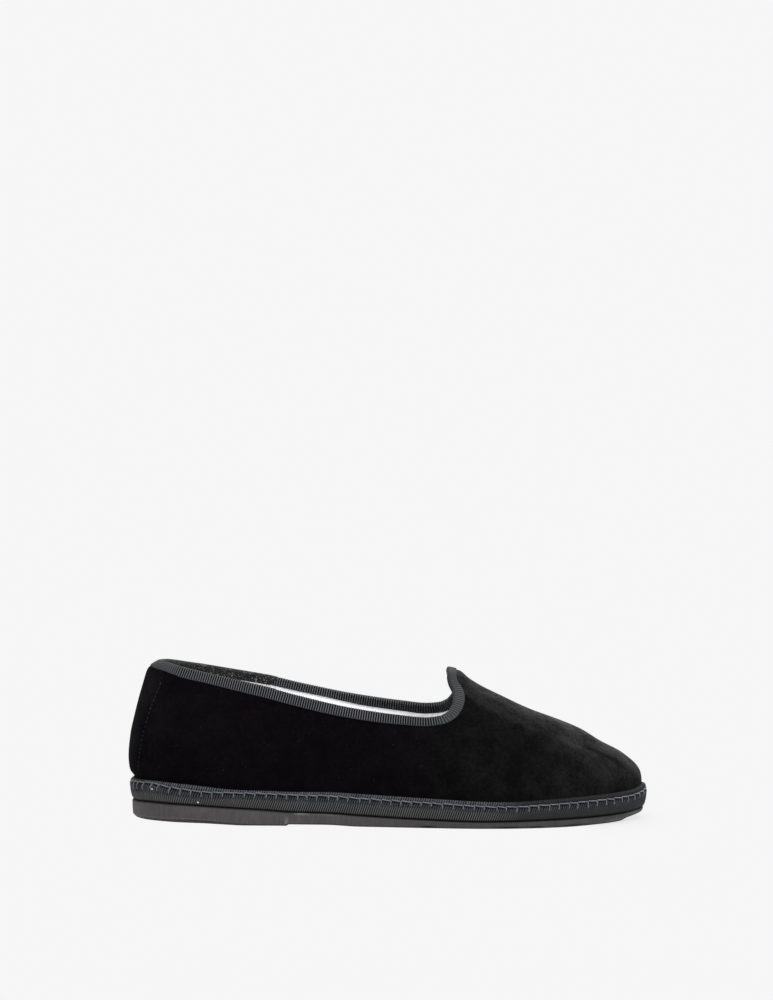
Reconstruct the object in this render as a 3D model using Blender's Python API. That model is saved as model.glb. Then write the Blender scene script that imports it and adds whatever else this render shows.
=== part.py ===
"""Velvet slip-on shoe for the right foot: rubber outsole, cloth insole, velvet upper, a ribbon round the
sole's edge and a ribbon folded over the collar.

Sizes and tables are in millimetres, measured from the heel's rearmost point and from the floor; the
meshes are in metres. +X runs to the toe, -Y to the outer side of the foot and +Z up. The origin is under
the middle of the shoe's box.
"""

from typing import NamedTuple

import bmesh
import bpy
import numpy as np

MM = 0.001
GAP = 0.3
WELD = 1e-7

STATIONS = 44
SPLINE_STEPS = 40
TUCK_STEPS = 8
WALL_STEPS = 90
WALL_ROWS = 9
ROW_CROWDING = 1.3

WALL = 1.8
TUCK_INSET = 1.9
SEAM_INSET = 0.7
SEAM_SWELL = 4.0
TIP_STRAIGHTENING = 0.8
TIP_STRAIGHT_HEIGHT = 60.0

LIP_HEIGHT = 0.9
LIP_RUN = 1.0
LIP_CREST_OUT = 0.5

RIBBON = 0.4
RIBBON_LEG = 4.8
LEAST_SLANT = 0.5

INSOLE_THICKNESS = 6.5
INSOLE_INSET = 4.0
INSOLE_EDGE = 0.6

TOP_EDGE = 0.4
TREAD_INSET = 0.3
TREAD_CHAMFER = 0.6
HEEL_CHAMFER = 2.1
HEEL_CHAMFER_FROM = 75.0
HEEL_CHAMFER_FULL = 30.0
HEEL_BACK_SHARE = 0.4
BREAST = 79.0
BREAST_RUN = 1.2
SPINE_INSET = 9.0


class Plan(NamedTuple):
    """The outsole's edge seen from above, at one place along the foot."""

    x: float
    outer: float
    inner: float


class Level(NamedTuple):
    """A height on the side view's outline."""

    x: float
    z: float


class Girth(NamedTuple):
    """How wide the wall stands at one height over the seam, as shares of its width at the seam."""

    height: float
    heel: float
    waist: float
    vamp: float


class Rim(NamedTuple):
    """The upper's edge at one share of the shoe's length."""

    share: float
    z: float


class Swell(NamedTuple):
    """The sole ribbon's outer face at one share of its height."""

    share: float
    out: float


SOLE_PLAN = (
    Plan(2.5, 2.0, 2.0),
    Plan(8.0, -15.5, 19.5),
    Plan(22.0, -27.0, 30.3),
    Plan(45.0, -30.5, 33.0),
    Plan(78.0, -31.8, 31.2),
    Plan(115.0, -35.5, 29.8),
    Plan(145.0, -40.7, 35.2),
    Plan(176.0, -44.5, 42.6),
    Plan(200.0, -42.6, 44.5),
    Plan(224.0, -34.3, 40.0),
    Plan(242.0, -22.5, 30.6),
    Plan(252.5, -9.5, 19.5),
    Plan(257.25, 5.0, 5.0),
)

JOINT = (
    Level(2.5, 9.8),
    Level(12.0, 10.7),
    Level(24.5, 10.4),
    Level(44.0, 9.3),
    Level(69.0, 7.8),
    Level(81.5, 6.9),
    Level(100.5, 6.5),
    Level(116.0, 5.6),
    Level(146.0, 4.3),
    Level(176.0, 3.5),
    Level(210.0, 3.9),
    Level(236.0, 4.4),
    Level(251.0, 5.1),
    Level(259.0, 5.9),
)

BAND = (
    Level(2.5, 11.0),
    Level(12.0, 10.8),
    Level(30.0, 10.2),
    Level(54.0, 9.2),
    Level(80.0, 10.1),
    Level(121.0, 10.8),
    Level(160.0, 10.5),
    Level(191.0, 9.7),
    Level(210.0, 10.2),
    Level(236.0, 10.7),
    Level(252.0, 10.7),
    Level(257.25, 11.7),
)

TREAD = (
    Level(2.5, 1.4),
    Level(16.0, 1.25),
    Level(36.0, 0.9),
    Level(50.0, 0.3),
    Level(58.0, 0.0),
    Level(BREAST, 0.0),
    Level(BREAST + BREAST_RUN, 0.7),
    Level(98.0, 0.7),
    Level(116.0, 0.0),
    Level(214.0, 0.0),
    Level(236.0, 0.5),
    Level(245.5, 1.0),
    Level(248.5, 2.1),
    Level(252.0, 2.7),
    Level(258.0, 3.6),
)

HEEL_LINE = (
    Level(3.2, 20.3),
    Level(1.8, 22.5),
    Level(0.35, 26.0),
    Level(-0.1, 31.5),
    Level(0.8, 42.0),
    Level(2.9, 52.0),
    Level(4.9, 60.0),
    Level(7.2, 68.0),
    Level(8.6, 72.5),
    Level(10.1, 75.4),
    Level(12.6, 77.7),
    Level(15.2, 79.1),
    Level(17.0, 80.0),
)

VAMP_LINE = (
    Level(256.6, 16.5),
    Level(256.6, 18.5),
    Level(256.1, 22.5),
    Level(254.9, 25.2),
    Level(253.0, 27.6),
    Level(250.5, 29.8),
    Level(246.0, 33.2),
    Level(236.0, 38.5),
    Level(226.0, 44.7),
    Level(216.0, 49.0),
    Level(201.0, 54.6),
    Level(186.0, 61.7),
    Level(176.0, 66.7),
    Level(170.0, 70.5),
    Level(167.5, 72.5),
    Level(165.3, 74.0),
    Level(163.0, 74.8),
    Level(159.5, 75.4),
    Level(150.0, 77.0),
)

GIRTHS = (
    Girth(0.0, 1.0, 1.0, 1.0),
    Girth(6.0, 1.045, 1.02, 1.005),
    Girth(14.0, 1.07, 1.04, 0.985),
    Girth(26.0, 1.04, 1.045, 0.90),
    Girth(40.0, 0.89, 1.02, 0.755),
    Girth(52.0, 0.65, 0.95, 0.62),
    Girth(62.0, 0.50, 0.85, 0.50),
)
HEEL_SHARE, WAIST_SHARE, VAMP_SHARE = 0.10, 0.42, 0.80
HEEL_PINCH = 0.42
PINCH_FROM_SHARE, PINCH_UNTIL_SHARE = 0.0, 0.19
PINCH_FROM_HEIGHT, PINCH_FULL_HEIGHT = 18.0, 56.0

COLLAR = (
    Rim(0.0, 79.1),
    Rim(0.03, 78.9),
    Rim(0.076, 78.0),
    Rim(0.166, 75.5),
    Rim(0.325, 70.4),
    Rim(0.382, 68.3),
    Rim(0.458, 64.5),
    Rim(0.569, 59.1),
    Rim(0.676, 55.3),
    Rim(0.73, 54.0),
    Rim(0.765, 54.5),
    Rim(0.8, 56.1),
    Rim(0.84, 59.0),
    Rim(0.88, 62.5),
    Rim(0.918, 66.4),
    Rim(0.94, 70.0),
    Rim(0.949, 71.5),
    Rim(0.961, 73.3),
    Rim(0.975, 74.5),
    Rim(1.0, 75.4),
)

BAND_FACE = (
    Swell(0.0, 0.1),
    Swell(0.10, 0.8),
    Swell(0.30, 1.45),
    Swell(0.55, 1.8),
    Swell(0.80, 1.7),
    Swell(0.95, 1.2),
)

COLOURS = {
    "outsole": (0.075, 0.071, 0.072, 1.0),
    "insole": (0.80, 0.79, 0.76, 1.0),
    "upper": (0.012, 0.011, 0.013, 1.0),
    "sole_band": (0.030, 0.031, 0.034, 1.0),
    "collar_binding": (0.035, 0.036, 0.040, 1.0),
}


class Ring(NamedTuple):
    """The columns round the shoe: heel back, outer side, toe, then the inner side back to the heel."""

    point: np.ndarray
    normal: np.ndarray
    share: np.ndarray
    middle: np.ndarray


class Shell(NamedTuple):
    """The upper's outer face, sampled closely up each column from its foot to the collar."""

    point: np.ndarray
    normal: np.ndarray
    run: np.ndarray
    seam_run: np.ndarray
    top_run: np.ndarray


def smooth_step(low, high, value):
    """Rises softly from 0 at low to 1 at high."""
    t = np.clip((value - low) / (high - low), 0.0, 1.0)
    return t * t * (3.0 - 2.0 * t)


def monotone(knots, values, at):
    """The curve through (knots, values) that never overshoots a row, read at the given places."""
    knots, values = np.asarray(knots, float), np.asarray(values, float)
    spans = np.diff(knots)
    slopes = np.diff(values) / spans
    ends = np.zeros(len(knots))
    ends[0], ends[-1] = slopes[0], slopes[-1]
    for i in range(1, len(spans)):
        before, after = slopes[i - 1], slopes[i]
        if before * after > 0.0:
            first = 2.0 * spans[i] + spans[i - 1]
            second = spans[i] + 2.0 * spans[i - 1]
            ends[i] = (first + second) / (first / before + second / after)
    at = np.clip(at, knots[0], knots[-1])
    i = np.clip(np.searchsorted(knots, at) - 1, 0, len(spans) - 1)
    t = (at - knots[i]) / spans[i]
    u = 1.0 - t
    start = u * u * (1.0 + 2.0 * t) * values[i] + t * u * u * spans[i] * ends[i]
    finish = t * t * (3.0 - 2.0 * t) * values[i + 1] - t * t * u * spans[i] * ends[i + 1]
    return start + finish


def height_at(rows, x):
    """Height of a side view line at each x."""
    return monotone([r.x for r in rows], [r.z for r in rows], x)


def reach_at(rows, z):
    """Place along the foot of a side view line at each height."""
    return monotone([r.z for r in rows], [r.x for r in rows], z)


def closed_curve(corners):
    """Points of the smooth closed curve through the corners, evenly many to a span."""
    steps = np.sqrt(np.linalg.norm(np.roll(corners, -1, axis=0) - corners, axis=1))[:, None]
    after = (np.roll(corners, -1, axis=0) - corners) / steps
    before = np.roll(after, 1, axis=0)
    last = np.roll(steps, 1, axis=0)
    lean = (before * steps + after * last) / (steps + last)
    t = np.linspace(0.0, 1.0, SPLINE_STEPS, endpoint=False)[None, :, None]
    u = 1.0 - t
    start, finish = corners[:, None], np.roll(corners, -1, axis=0)[:, None]
    leave, arrive = (lean * steps)[:, None], (np.roll(lean, -1, axis=0) * steps)[:, None]
    curve = u * u * (1.0 + 2.0 * t) * start + t * t * (3.0 - 2.0 * t) * finish
    curve = curve + t * u * u * leave - t * t * u * arrive
    return curve.reshape(-1, 2)


def sole_ring():
    """The outsole's edge at stations that crowd towards the heel and the toe, as a Ring."""
    outer = [(row.x, row.outer) for row in SOLE_PLAN]
    inner = [(row.x, row.inner) for row in SOLE_PLAN[-2:0:-1]]
    curve = closed_curve(np.array(outer + inner))
    lean = np.roll(curve, -1, axis=0) - np.roll(curve, 1, axis=0)
    lean = lean / np.linalg.norm(lean, axis=1)[:, None]
    normal = np.stack((lean[:, 1], -lean[:, 0]), axis=1)
    back, tip = SOLE_PLAN[0].x, SOLE_PLAN[-1].x
    spread = 0.5 - 0.5 * np.cos(np.pi * np.arange(STATIONS + 1) / STATIONS)
    stations = back + (tip - back) * spread
    stations = np.sort(np.concatenate((stations, (BREAST, BREAST + BREAST_RUN))))
    toe = (len(SOLE_PLAN) - 1) * SPLINE_STEPS
    there = np.arange(toe + 1)
    home = np.arange(len(curve), toe - 1, -1)
    index = np.concatenate((
        np.interp(stations, curve[there, 0], there),
        np.interp(stations[-2:0:-1], curve[home % len(curve), 0], home),
    ))
    whole = np.arange(len(curve) + 1)
    wrapped = whole % len(curve)
    point = np.stack([np.interp(index, whole, curve[wrapped, k]) for k in (0, 1)], axis=1)
    facing = np.stack([np.interp(index, whole, normal[wrapped, k]) for k in (0, 1)], axis=1)
    across = np.roll(point[::-1, 1], 1)
    middle = (point[:, 1] + across) / 2.0
    return Ring(point, facing, (point[:, 0] - back) / (tip - back), middle)


def beside(ring, out):
    """The ring's points moved outwards by a distance, in plan."""
    return ring.point + ring.normal * np.reshape(out, (-1, 1))


def raised(plan, z):
    """Plan points lifted to their heights."""
    return np.column_stack((plan, z))


def ribbon_top(ring):
    """Height of the sole ribbon's upper edge at each column."""
    return height_at(JOINT, ring.point[:, 0]) + height_at(BAND, ring.point[:, 0])


def girth_at(share, height):
    """Width of the wall at heights over the seam, as a share of its width at the seam."""
    over = [row.height for row in GIRTHS]
    heel = monotone(over, [row.heel for row in GIRTHS], height)
    waist = monotone(over, [row.waist for row in GIRTHS], height)
    vamp = monotone(over, [row.vamp for row in GIRTHS], height)
    forward = smooth_step(HEEL_SHARE, WAIST_SHARE, share)
    over_foot = smooth_step(WAIST_SHARE, VAMP_SHARE, share)
    girth = heel * (1.0 - forward) + (waist * (1.0 - over_foot) + vamp * over_foot) * forward
    behind = 1.0 - smooth_step(PINCH_FROM_SHARE, PINCH_UNTIL_SHARE, share)
    return girth * (1.0 - HEEL_PINCH * behind * smooth_step(PINCH_FROM_HEIGHT, PINCH_FULL_HEIGHT, height))


def upper_shell(ring):
    """The upper's outer face: a tuck behind the sole ribbon, then level outlines from seam to collar."""
    foot_plan = beside(ring, -TUCK_INSET)
    foot = raised(foot_plan, height_at(JOINT, foot_plan[:, 0]) + GAP)
    seam = raised(beside(ring, -SEAM_INSET), ribbon_top(ring) - LIP_HEIGHT)
    share = ring.share[:, None]
    rim = monotone([row.share for row in COLLAR], [row.z for row in COLLAR], share)
    climb = np.linspace(0.0, 1.0, WALL_STEPS)[None, :]
    z = seam[:, 2:] + (rim - seam[:, 2:]) * climb
    height = z - seam[:, 2:]
    back, front = reach_at(HEEL_LINE, z), reach_at(VAMP_LINE, z)
    straight = TIP_STRAIGHTENING * smooth_step(0.0, TIP_STRAIGHT_HEIGHT, height)
    middle = ring.middle[:, None]
    level_x = back + share * (front - back)
    level_y = middle * (1.0 - straight) + (seam[:, 1:2] - middle) * girth_at(share, height)
    free = smooth_step(0.0, SEAM_SWELL, height)
    wall = np.stack((
        seam[:, 0:1] + free * (level_x - seam[:, 0:1]),
        seam[:, 1:2] + free * (level_y - seam[:, 1:2]),
        z,
    ), axis=2)
    rise = np.linspace(0.0, 1.0, TUCK_STEPS, endpoint=False)[None, :, None]
    tuck = foot[:, None] + (seam - foot)[:, None] * rise
    point = np.concatenate((tuck, wall), axis=1)
    around = np.roll(point, -1, axis=0) - np.roll(point, 1, axis=0)
    normal = np.cross(around, np.gradient(point, axis=1))
    normal = normal / np.linalg.norm(normal, axis=2)[:, :, None]
    steps = np.linalg.norm(np.diff(point, axis=1), axis=2)
    run = np.concatenate((np.zeros((len(point), 1)), np.cumsum(steps, axis=1)), axis=1)
    return Shell(point, normal, run, run[:, TUCK_STEPS], run[:, -1])


def shell_at(shell, run):
    """Points and normals of the shell at a run up each column, counted from its foot."""
    columns = range(len(run))
    point = [[np.interp(run[c], shell.run[c], shell.point[c, :, k]) for k in range(3)] for c in columns]
    normal = [[np.interp(run[c], shell.run[c], shell.normal[c, :, k]) for k in range(3)] for c in columns]
    return np.array(point), np.array(normal)


def shell_ring(shell, run, out):
    """The loop at a run up each column, moved off the shell by a distance."""
    point, normal = shell_at(shell, run)
    return point + normal * out


def collar_frame(shell):
    """The upper's edge: its points, the way each faces, the way off the edge, and runs a ribbon's leg takes."""
    edge, facing = shell_at(shell, shell.top_run)
    along = np.roll(edge, -1, axis=0) - np.roll(edge, 1, axis=0)
    off = np.cross(facing, along)
    off = off / np.linalg.norm(off, axis=1)[:, None]
    climb = shell.point[:, -1] - shell.point[:, -2]
    climb = climb / np.linalg.norm(climb, axis=1)[:, None]
    slant = np.sum(climb * off, axis=1)
    off = off * np.sign(slant)[:, None]
    leg = RIBBON_LEG / np.maximum(np.abs(slant), LEAST_SLANT)
    return edge, facing, off, [shell.top_run - leg, shell.top_run - leg / 2.0, shell.top_run]


def upper_rings(shell):
    """Loops up the outer face and down the inner face."""
    share = (np.arange(1, WALL_ROWS) / WALL_ROWS) ** ROW_CROWDING
    lip = shell.seam_run + LIP_RUN
    leg_runs = collar_frame(shell)[-1]
    runs = [shell.seam_run * 0.0, shell.seam_run, lip]
    runs += [lip + (leg_runs[0] - lip) * s for s in share]
    runs += leg_runs
    outside = [shell_ring(shell, run, 0.0) for run in runs]
    inside = [shell_ring(shell, run, -WALL) for run in reversed(runs)]
    return outside + inside


def band_rings(ring, shell):
    """Loops up the ribbon's outer face, over its lip and down against the upper."""
    top = ribbon_top(ring)
    rings = []
    for row in BAND_FACE:
        plan = beside(ring, row.out)
        base = height_at(JOINT, plan[:, 0]) + GAP
        rings.append(raised(plan, base + (top - base) * row.share))
    rings.append(raised(beside(ring, LIP_CREST_OUT), top))
    for run in (shell.seam_run + LIP_RUN, shell.seam_run, shell.seam_run * 0.5, shell.seam_run * 0.0):
        rings.append(shell_ring(shell, run, GAP))
    return rings


def binding_rings(shell):
    """Loops round the ribbon folded over the collar, from its outer leg over the edge and back inside."""
    edge, facing, off, runs = collar_frame(shell)

    def crest(out, rise):
        return edge + facing * out + off * rise

    far = GAP + RIBBON
    rings = [shell_ring(shell, run, far) for run in runs]
    rings.append(crest(far - RIBBON, far))
    rings.append(crest(RIBBON - WALL - far, far))
    rings += [shell_ring(shell, run, -WALL - far) for run in reversed(runs)]
    rings += [shell_ring(shell, run, -WALL - GAP) for run in runs[:2]]
    rings.append(crest(-WALL - GAP, GAP))
    rings.append(crest(GAP, GAP))
    rings += [shell_ring(shell, run, GAP) for run in reversed(runs[:2])]
    return rings


def spine(ring):
    """Plan points of the middle line, one for each column, so that a face can close across the shoe."""
    x = np.clip(ring.point[:, 0], SOLE_PLAN[0].x + SPINE_INSET, SOLE_PLAN[-1].x - SPINE_INSET)
    order = np.argsort(ring.point[:, 0])
    return np.column_stack((x, np.interp(x, ring.point[order, 0], ring.middle[order])))


def outsole_rings(ring):
    """Loops from the middle of the tread, up the chamfer and side, to the middle of the top."""
    heel = smooth_step(HEEL_CHAMFER_FROM, HEEL_CHAMFER_FULL, ring.point[:, 0])
    side_on = 1.0 - HEEL_BACK_SHARE * ring.normal[:, 0] ** 2
    chamfer = TREAD_CHAMFER + (HEEL_CHAMFER * side_on - TREAD_CHAMFER) * heel
    inner = spine(ring)
    ground = beside(ring, -TREAD_INSET - chamfer)
    side = beside(ring, -TREAD_INSET)
    rim = beside(ring, -TOP_EDGE)
    joint = height_at(JOINT, ring.point[:, 0])
    return [
        raised(inner, height_at(TREAD, inner[:, 0])),
        raised(ground, height_at(TREAD, ground[:, 0])),
        raised(side, height_at(TREAD, side[:, 0]) + chamfer),
        raised(ring.point, joint - TOP_EDGE),
        raised(rim, height_at(JOINT, rim[:, 0])),
        raised(inner, height_at(JOINT, inner[:, 0])),
    ]


def insole_rings(ring):
    """Loops from the middle of the insole's underside round its edge to the middle of its top."""
    inner = spine(ring)
    edge = beside(ring, -INSOLE_INSET)
    rim = beside(ring, -INSOLE_INSET - INSOLE_EDGE)
    floor = height_at(JOINT, edge[:, 0]) + GAP
    return [
        raised(inner, height_at(JOINT, inner[:, 0]) + GAP),
        raised(edge, floor),
        raised(edge, floor + INSOLE_THICKNESS - INSOLE_EDGE),
        raised(rim, height_at(JOINT, rim[:, 0]) + GAP + INSOLE_THICKNESS),
        raised(inner, height_at(JOINT, inner[:, 0]) + GAP + INSOLE_THICKNESS),
    ]


def clear_scene():
    """Takes away whatever the scene starts with."""
    for obj in list(bpy.data.objects):
        bpy.data.objects.remove(obj, do_unlink=True)


def material(name):
    """A plain material in the node's colour."""
    made = bpy.data.materials.new(name)
    made.use_nodes = True
    made.node_tree.nodes["Principled BSDF"].inputs["Base Color"].default_value = COLOURS[name]
    return made


def add_solid(name, rings, origin, tube):
    """Lays a grid over the loops as a closed solid; a tube's last loop meets its first one again."""
    loops = (np.array(rings) - origin) * MM
    around = loops.shape[1]
    steps = len(loops) if tube else len(loops) - 1
    mesh = bmesh.new()
    bmesh.ops.create_grid(mesh, x_segments=around, y_segments=steps, size=0.5)
    for vert in mesh.verts:
        column = round((vert.co.x + 0.5) * around) % around
        row = round((vert.co.y + 0.5) * steps) % len(loops)
        vert.co = loops[row, column]
    bmesh.ops.remove_doubles(mesh, verts=mesh.verts, dist=WELD)
    data = bpy.data.meshes.new(name)
    mesh.to_mesh(data)
    mesh.free()
    data.materials.append(material(name))
    obj = bpy.data.objects.new(name, data)
    bpy.context.scene.collection.objects.link(obj)


def main():
    """Builds the five pieces about the middle of the shoe's box."""
    clear_scene()
    ring = sole_ring()
    shell = upper_shell(ring)
    tubes = {
        "upper": upper_rings(shell),
        "sole_band": band_rings(ring, shell),
        "collar_binding": binding_rings(shell),
    }
    slabs = {"outsole": outsole_rings(ring), "insole": insole_rings(ring)}
    points = np.concatenate([np.concatenate(rings) for rings in (*tubes.values(), *slabs.values())])
    low, high = points.min(axis=0), points.max(axis=0)
    origin = np.array(((low[0] + high[0]) / 2.0, (low[1] + high[1]) / 2.0, low[2]))
    for name, rings in tubes.items():
        add_solid(name, rings, origin, tube=True)
    for name, rings in slabs.items():
        add_solid(name, rings, origin, tube=False)


main()
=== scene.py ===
"""Looks of a velvet slip-on shoe: napped upper, ribbed ribbons, blanket stitch, lining, insole and rubber.

Sizes are in millimetres, measured from the heel's rearmost point and from the floor; meshes are in metres
in the frame's own place. +X runs to the toe and -Y to the outer side of the foot. Finishes read places in
millimetres in the frame, whose origin lies under the middle of the shoe. The studio is in metres.
"""

import logging
import math
from dataclasses import dataclass, field
from enum import Enum
from functools import cached_property
from typing import NamedTuple, Sequence, Union

import bmesh
import bpy
import numpy as np
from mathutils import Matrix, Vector


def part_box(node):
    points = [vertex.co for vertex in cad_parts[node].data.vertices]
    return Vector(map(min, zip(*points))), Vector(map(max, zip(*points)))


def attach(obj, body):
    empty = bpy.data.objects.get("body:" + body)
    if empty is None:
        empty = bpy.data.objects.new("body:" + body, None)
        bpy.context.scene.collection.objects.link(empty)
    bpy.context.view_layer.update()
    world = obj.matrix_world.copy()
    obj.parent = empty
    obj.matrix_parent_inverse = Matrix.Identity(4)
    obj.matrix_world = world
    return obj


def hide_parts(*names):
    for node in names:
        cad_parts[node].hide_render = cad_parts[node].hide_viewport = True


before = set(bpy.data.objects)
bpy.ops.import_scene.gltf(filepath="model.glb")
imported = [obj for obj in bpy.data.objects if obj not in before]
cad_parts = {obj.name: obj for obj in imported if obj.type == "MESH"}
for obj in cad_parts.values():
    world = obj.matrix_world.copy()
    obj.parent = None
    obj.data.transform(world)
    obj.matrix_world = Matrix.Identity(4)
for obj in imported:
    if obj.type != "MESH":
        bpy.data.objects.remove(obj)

LOG = logging.getLogger("shoe")
MM = 0.001
WELD = 1e-7
BODY = "root"
CLOTH_MAP = "Cloth"

Array = np.ndarray
Colour = tuple[float, float, float]
Stretch = tuple[float, float, float]
Span = tuple[float, float]


class Side(Enum):
    """The two sides of the foot, by the sign of Y."""

    OUTER = -1
    INNER = 1


class Plan(NamedTuple):
    """The outsole's edge seen from above, at one place along the foot."""

    x: float
    outer: float
    inner: float


class Level(NamedTuple):
    """A height on the side view's outline."""

    x: float
    z: float


class Girth(NamedTuple):
    """How wide the wall stands at one height over the seam, as shares of its width at the seam."""

    height: float
    heel: float
    waist: float
    vamp: float


class Rim(NamedTuple):
    """The height of the upper's edge at one share of the shoe's length."""

    share: float
    z: float


class Swell(NamedTuple):
    """The sole ribbon's outer face at one share of its height."""

    share: float
    out: float


class Outline(NamedTuple):
    """Places round the sole's edge: points and facings in plan, share of the length, and the middle line."""

    point: Array
    facing: Array
    share: Array
    middle: Array


def smooth_step(low: float, high: float, value: Array) -> Array:
    """Rises softly from 0 at low to 1 at high.

    Args:
        low: Where the rise starts.
        high: Where the rise ends.
        value: Places to read.

    Returns:
        The rise at each place.
    """
    t = np.clip((value - low) / (high - low), 0.0, 1.0)
    return t * t * (3.0 - 2.0 * t)


def bell(distance: Array, width: float) -> Array:
    """A soft bump of height 1 that falls away over a width."""
    return np.exp(-((distance / width) ** 2))


def unit(vectors: Array) -> Array:
    """The vectors at length one."""
    return vectors / np.linalg.norm(vectors, axis=-1, keepdims=True)


def monotone(knots: Sequence[float], values: Sequence[float], at: Array) -> Array:
    """The curve through rows of a table that never overshoots a row.

    Args:
        knots: Where the rows stand, rising.
        values: The value of each row.
        at: Places to read.

    Returns:
        The curve's value at each place.
    """
    knots, values = np.asarray(knots, float), np.asarray(values, float)
    spans = np.diff(knots)
    slopes = np.diff(values) / spans
    ends = np.zeros(len(knots))
    ends[0], ends[-1] = slopes[0], slopes[-1]
    for i in range(1, len(spans)):
        before, after = slopes[i - 1], slopes[i]
        if before * after > 0.0:
            first = 2.0 * spans[i] + spans[i - 1]
            second = spans[i] + 2.0 * spans[i - 1]
            ends[i] = (first + second) / (first / before + second / after)
    at = np.clip(at, knots[0], knots[-1])
    i = np.clip(np.searchsorted(knots, at) - 1, 0, len(spans) - 1)
    t = (at - knots[i]) / spans[i]
    u = 1.0 - t
    start = u * u * (1.0 + 2.0 * t) * values[i] + t * u * u * spans[i] * ends[i]
    finish = t * t * (3.0 - 2.0 * t) * values[i + 1] - t * t * u * spans[i] * ends[i + 1]
    return start + finish


def column(rows: Sequence[NamedTuple], name: str) -> list[float]:
    """One named column of a table."""
    return [getattr(row, name) for row in rows]


def read(rows: Sequence[NamedTuple], by: str, name: str, at: Array) -> Array:
    """Reads a table's curve.

    Args:
        rows: The table.
        by: The column that places are given in.
        name: The column to read.
        at: Places to read.

    Returns:
        The curve's value at each place.
    """
    return monotone(column(rows, by), column(rows, name), at)


def way_along(points: Array) -> Array:
    """The way along a line of points up to each of them."""
    return np.concatenate(((0.0,), np.cumsum(np.linalg.norm(np.diff(points, axis=0), axis=1))))


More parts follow.
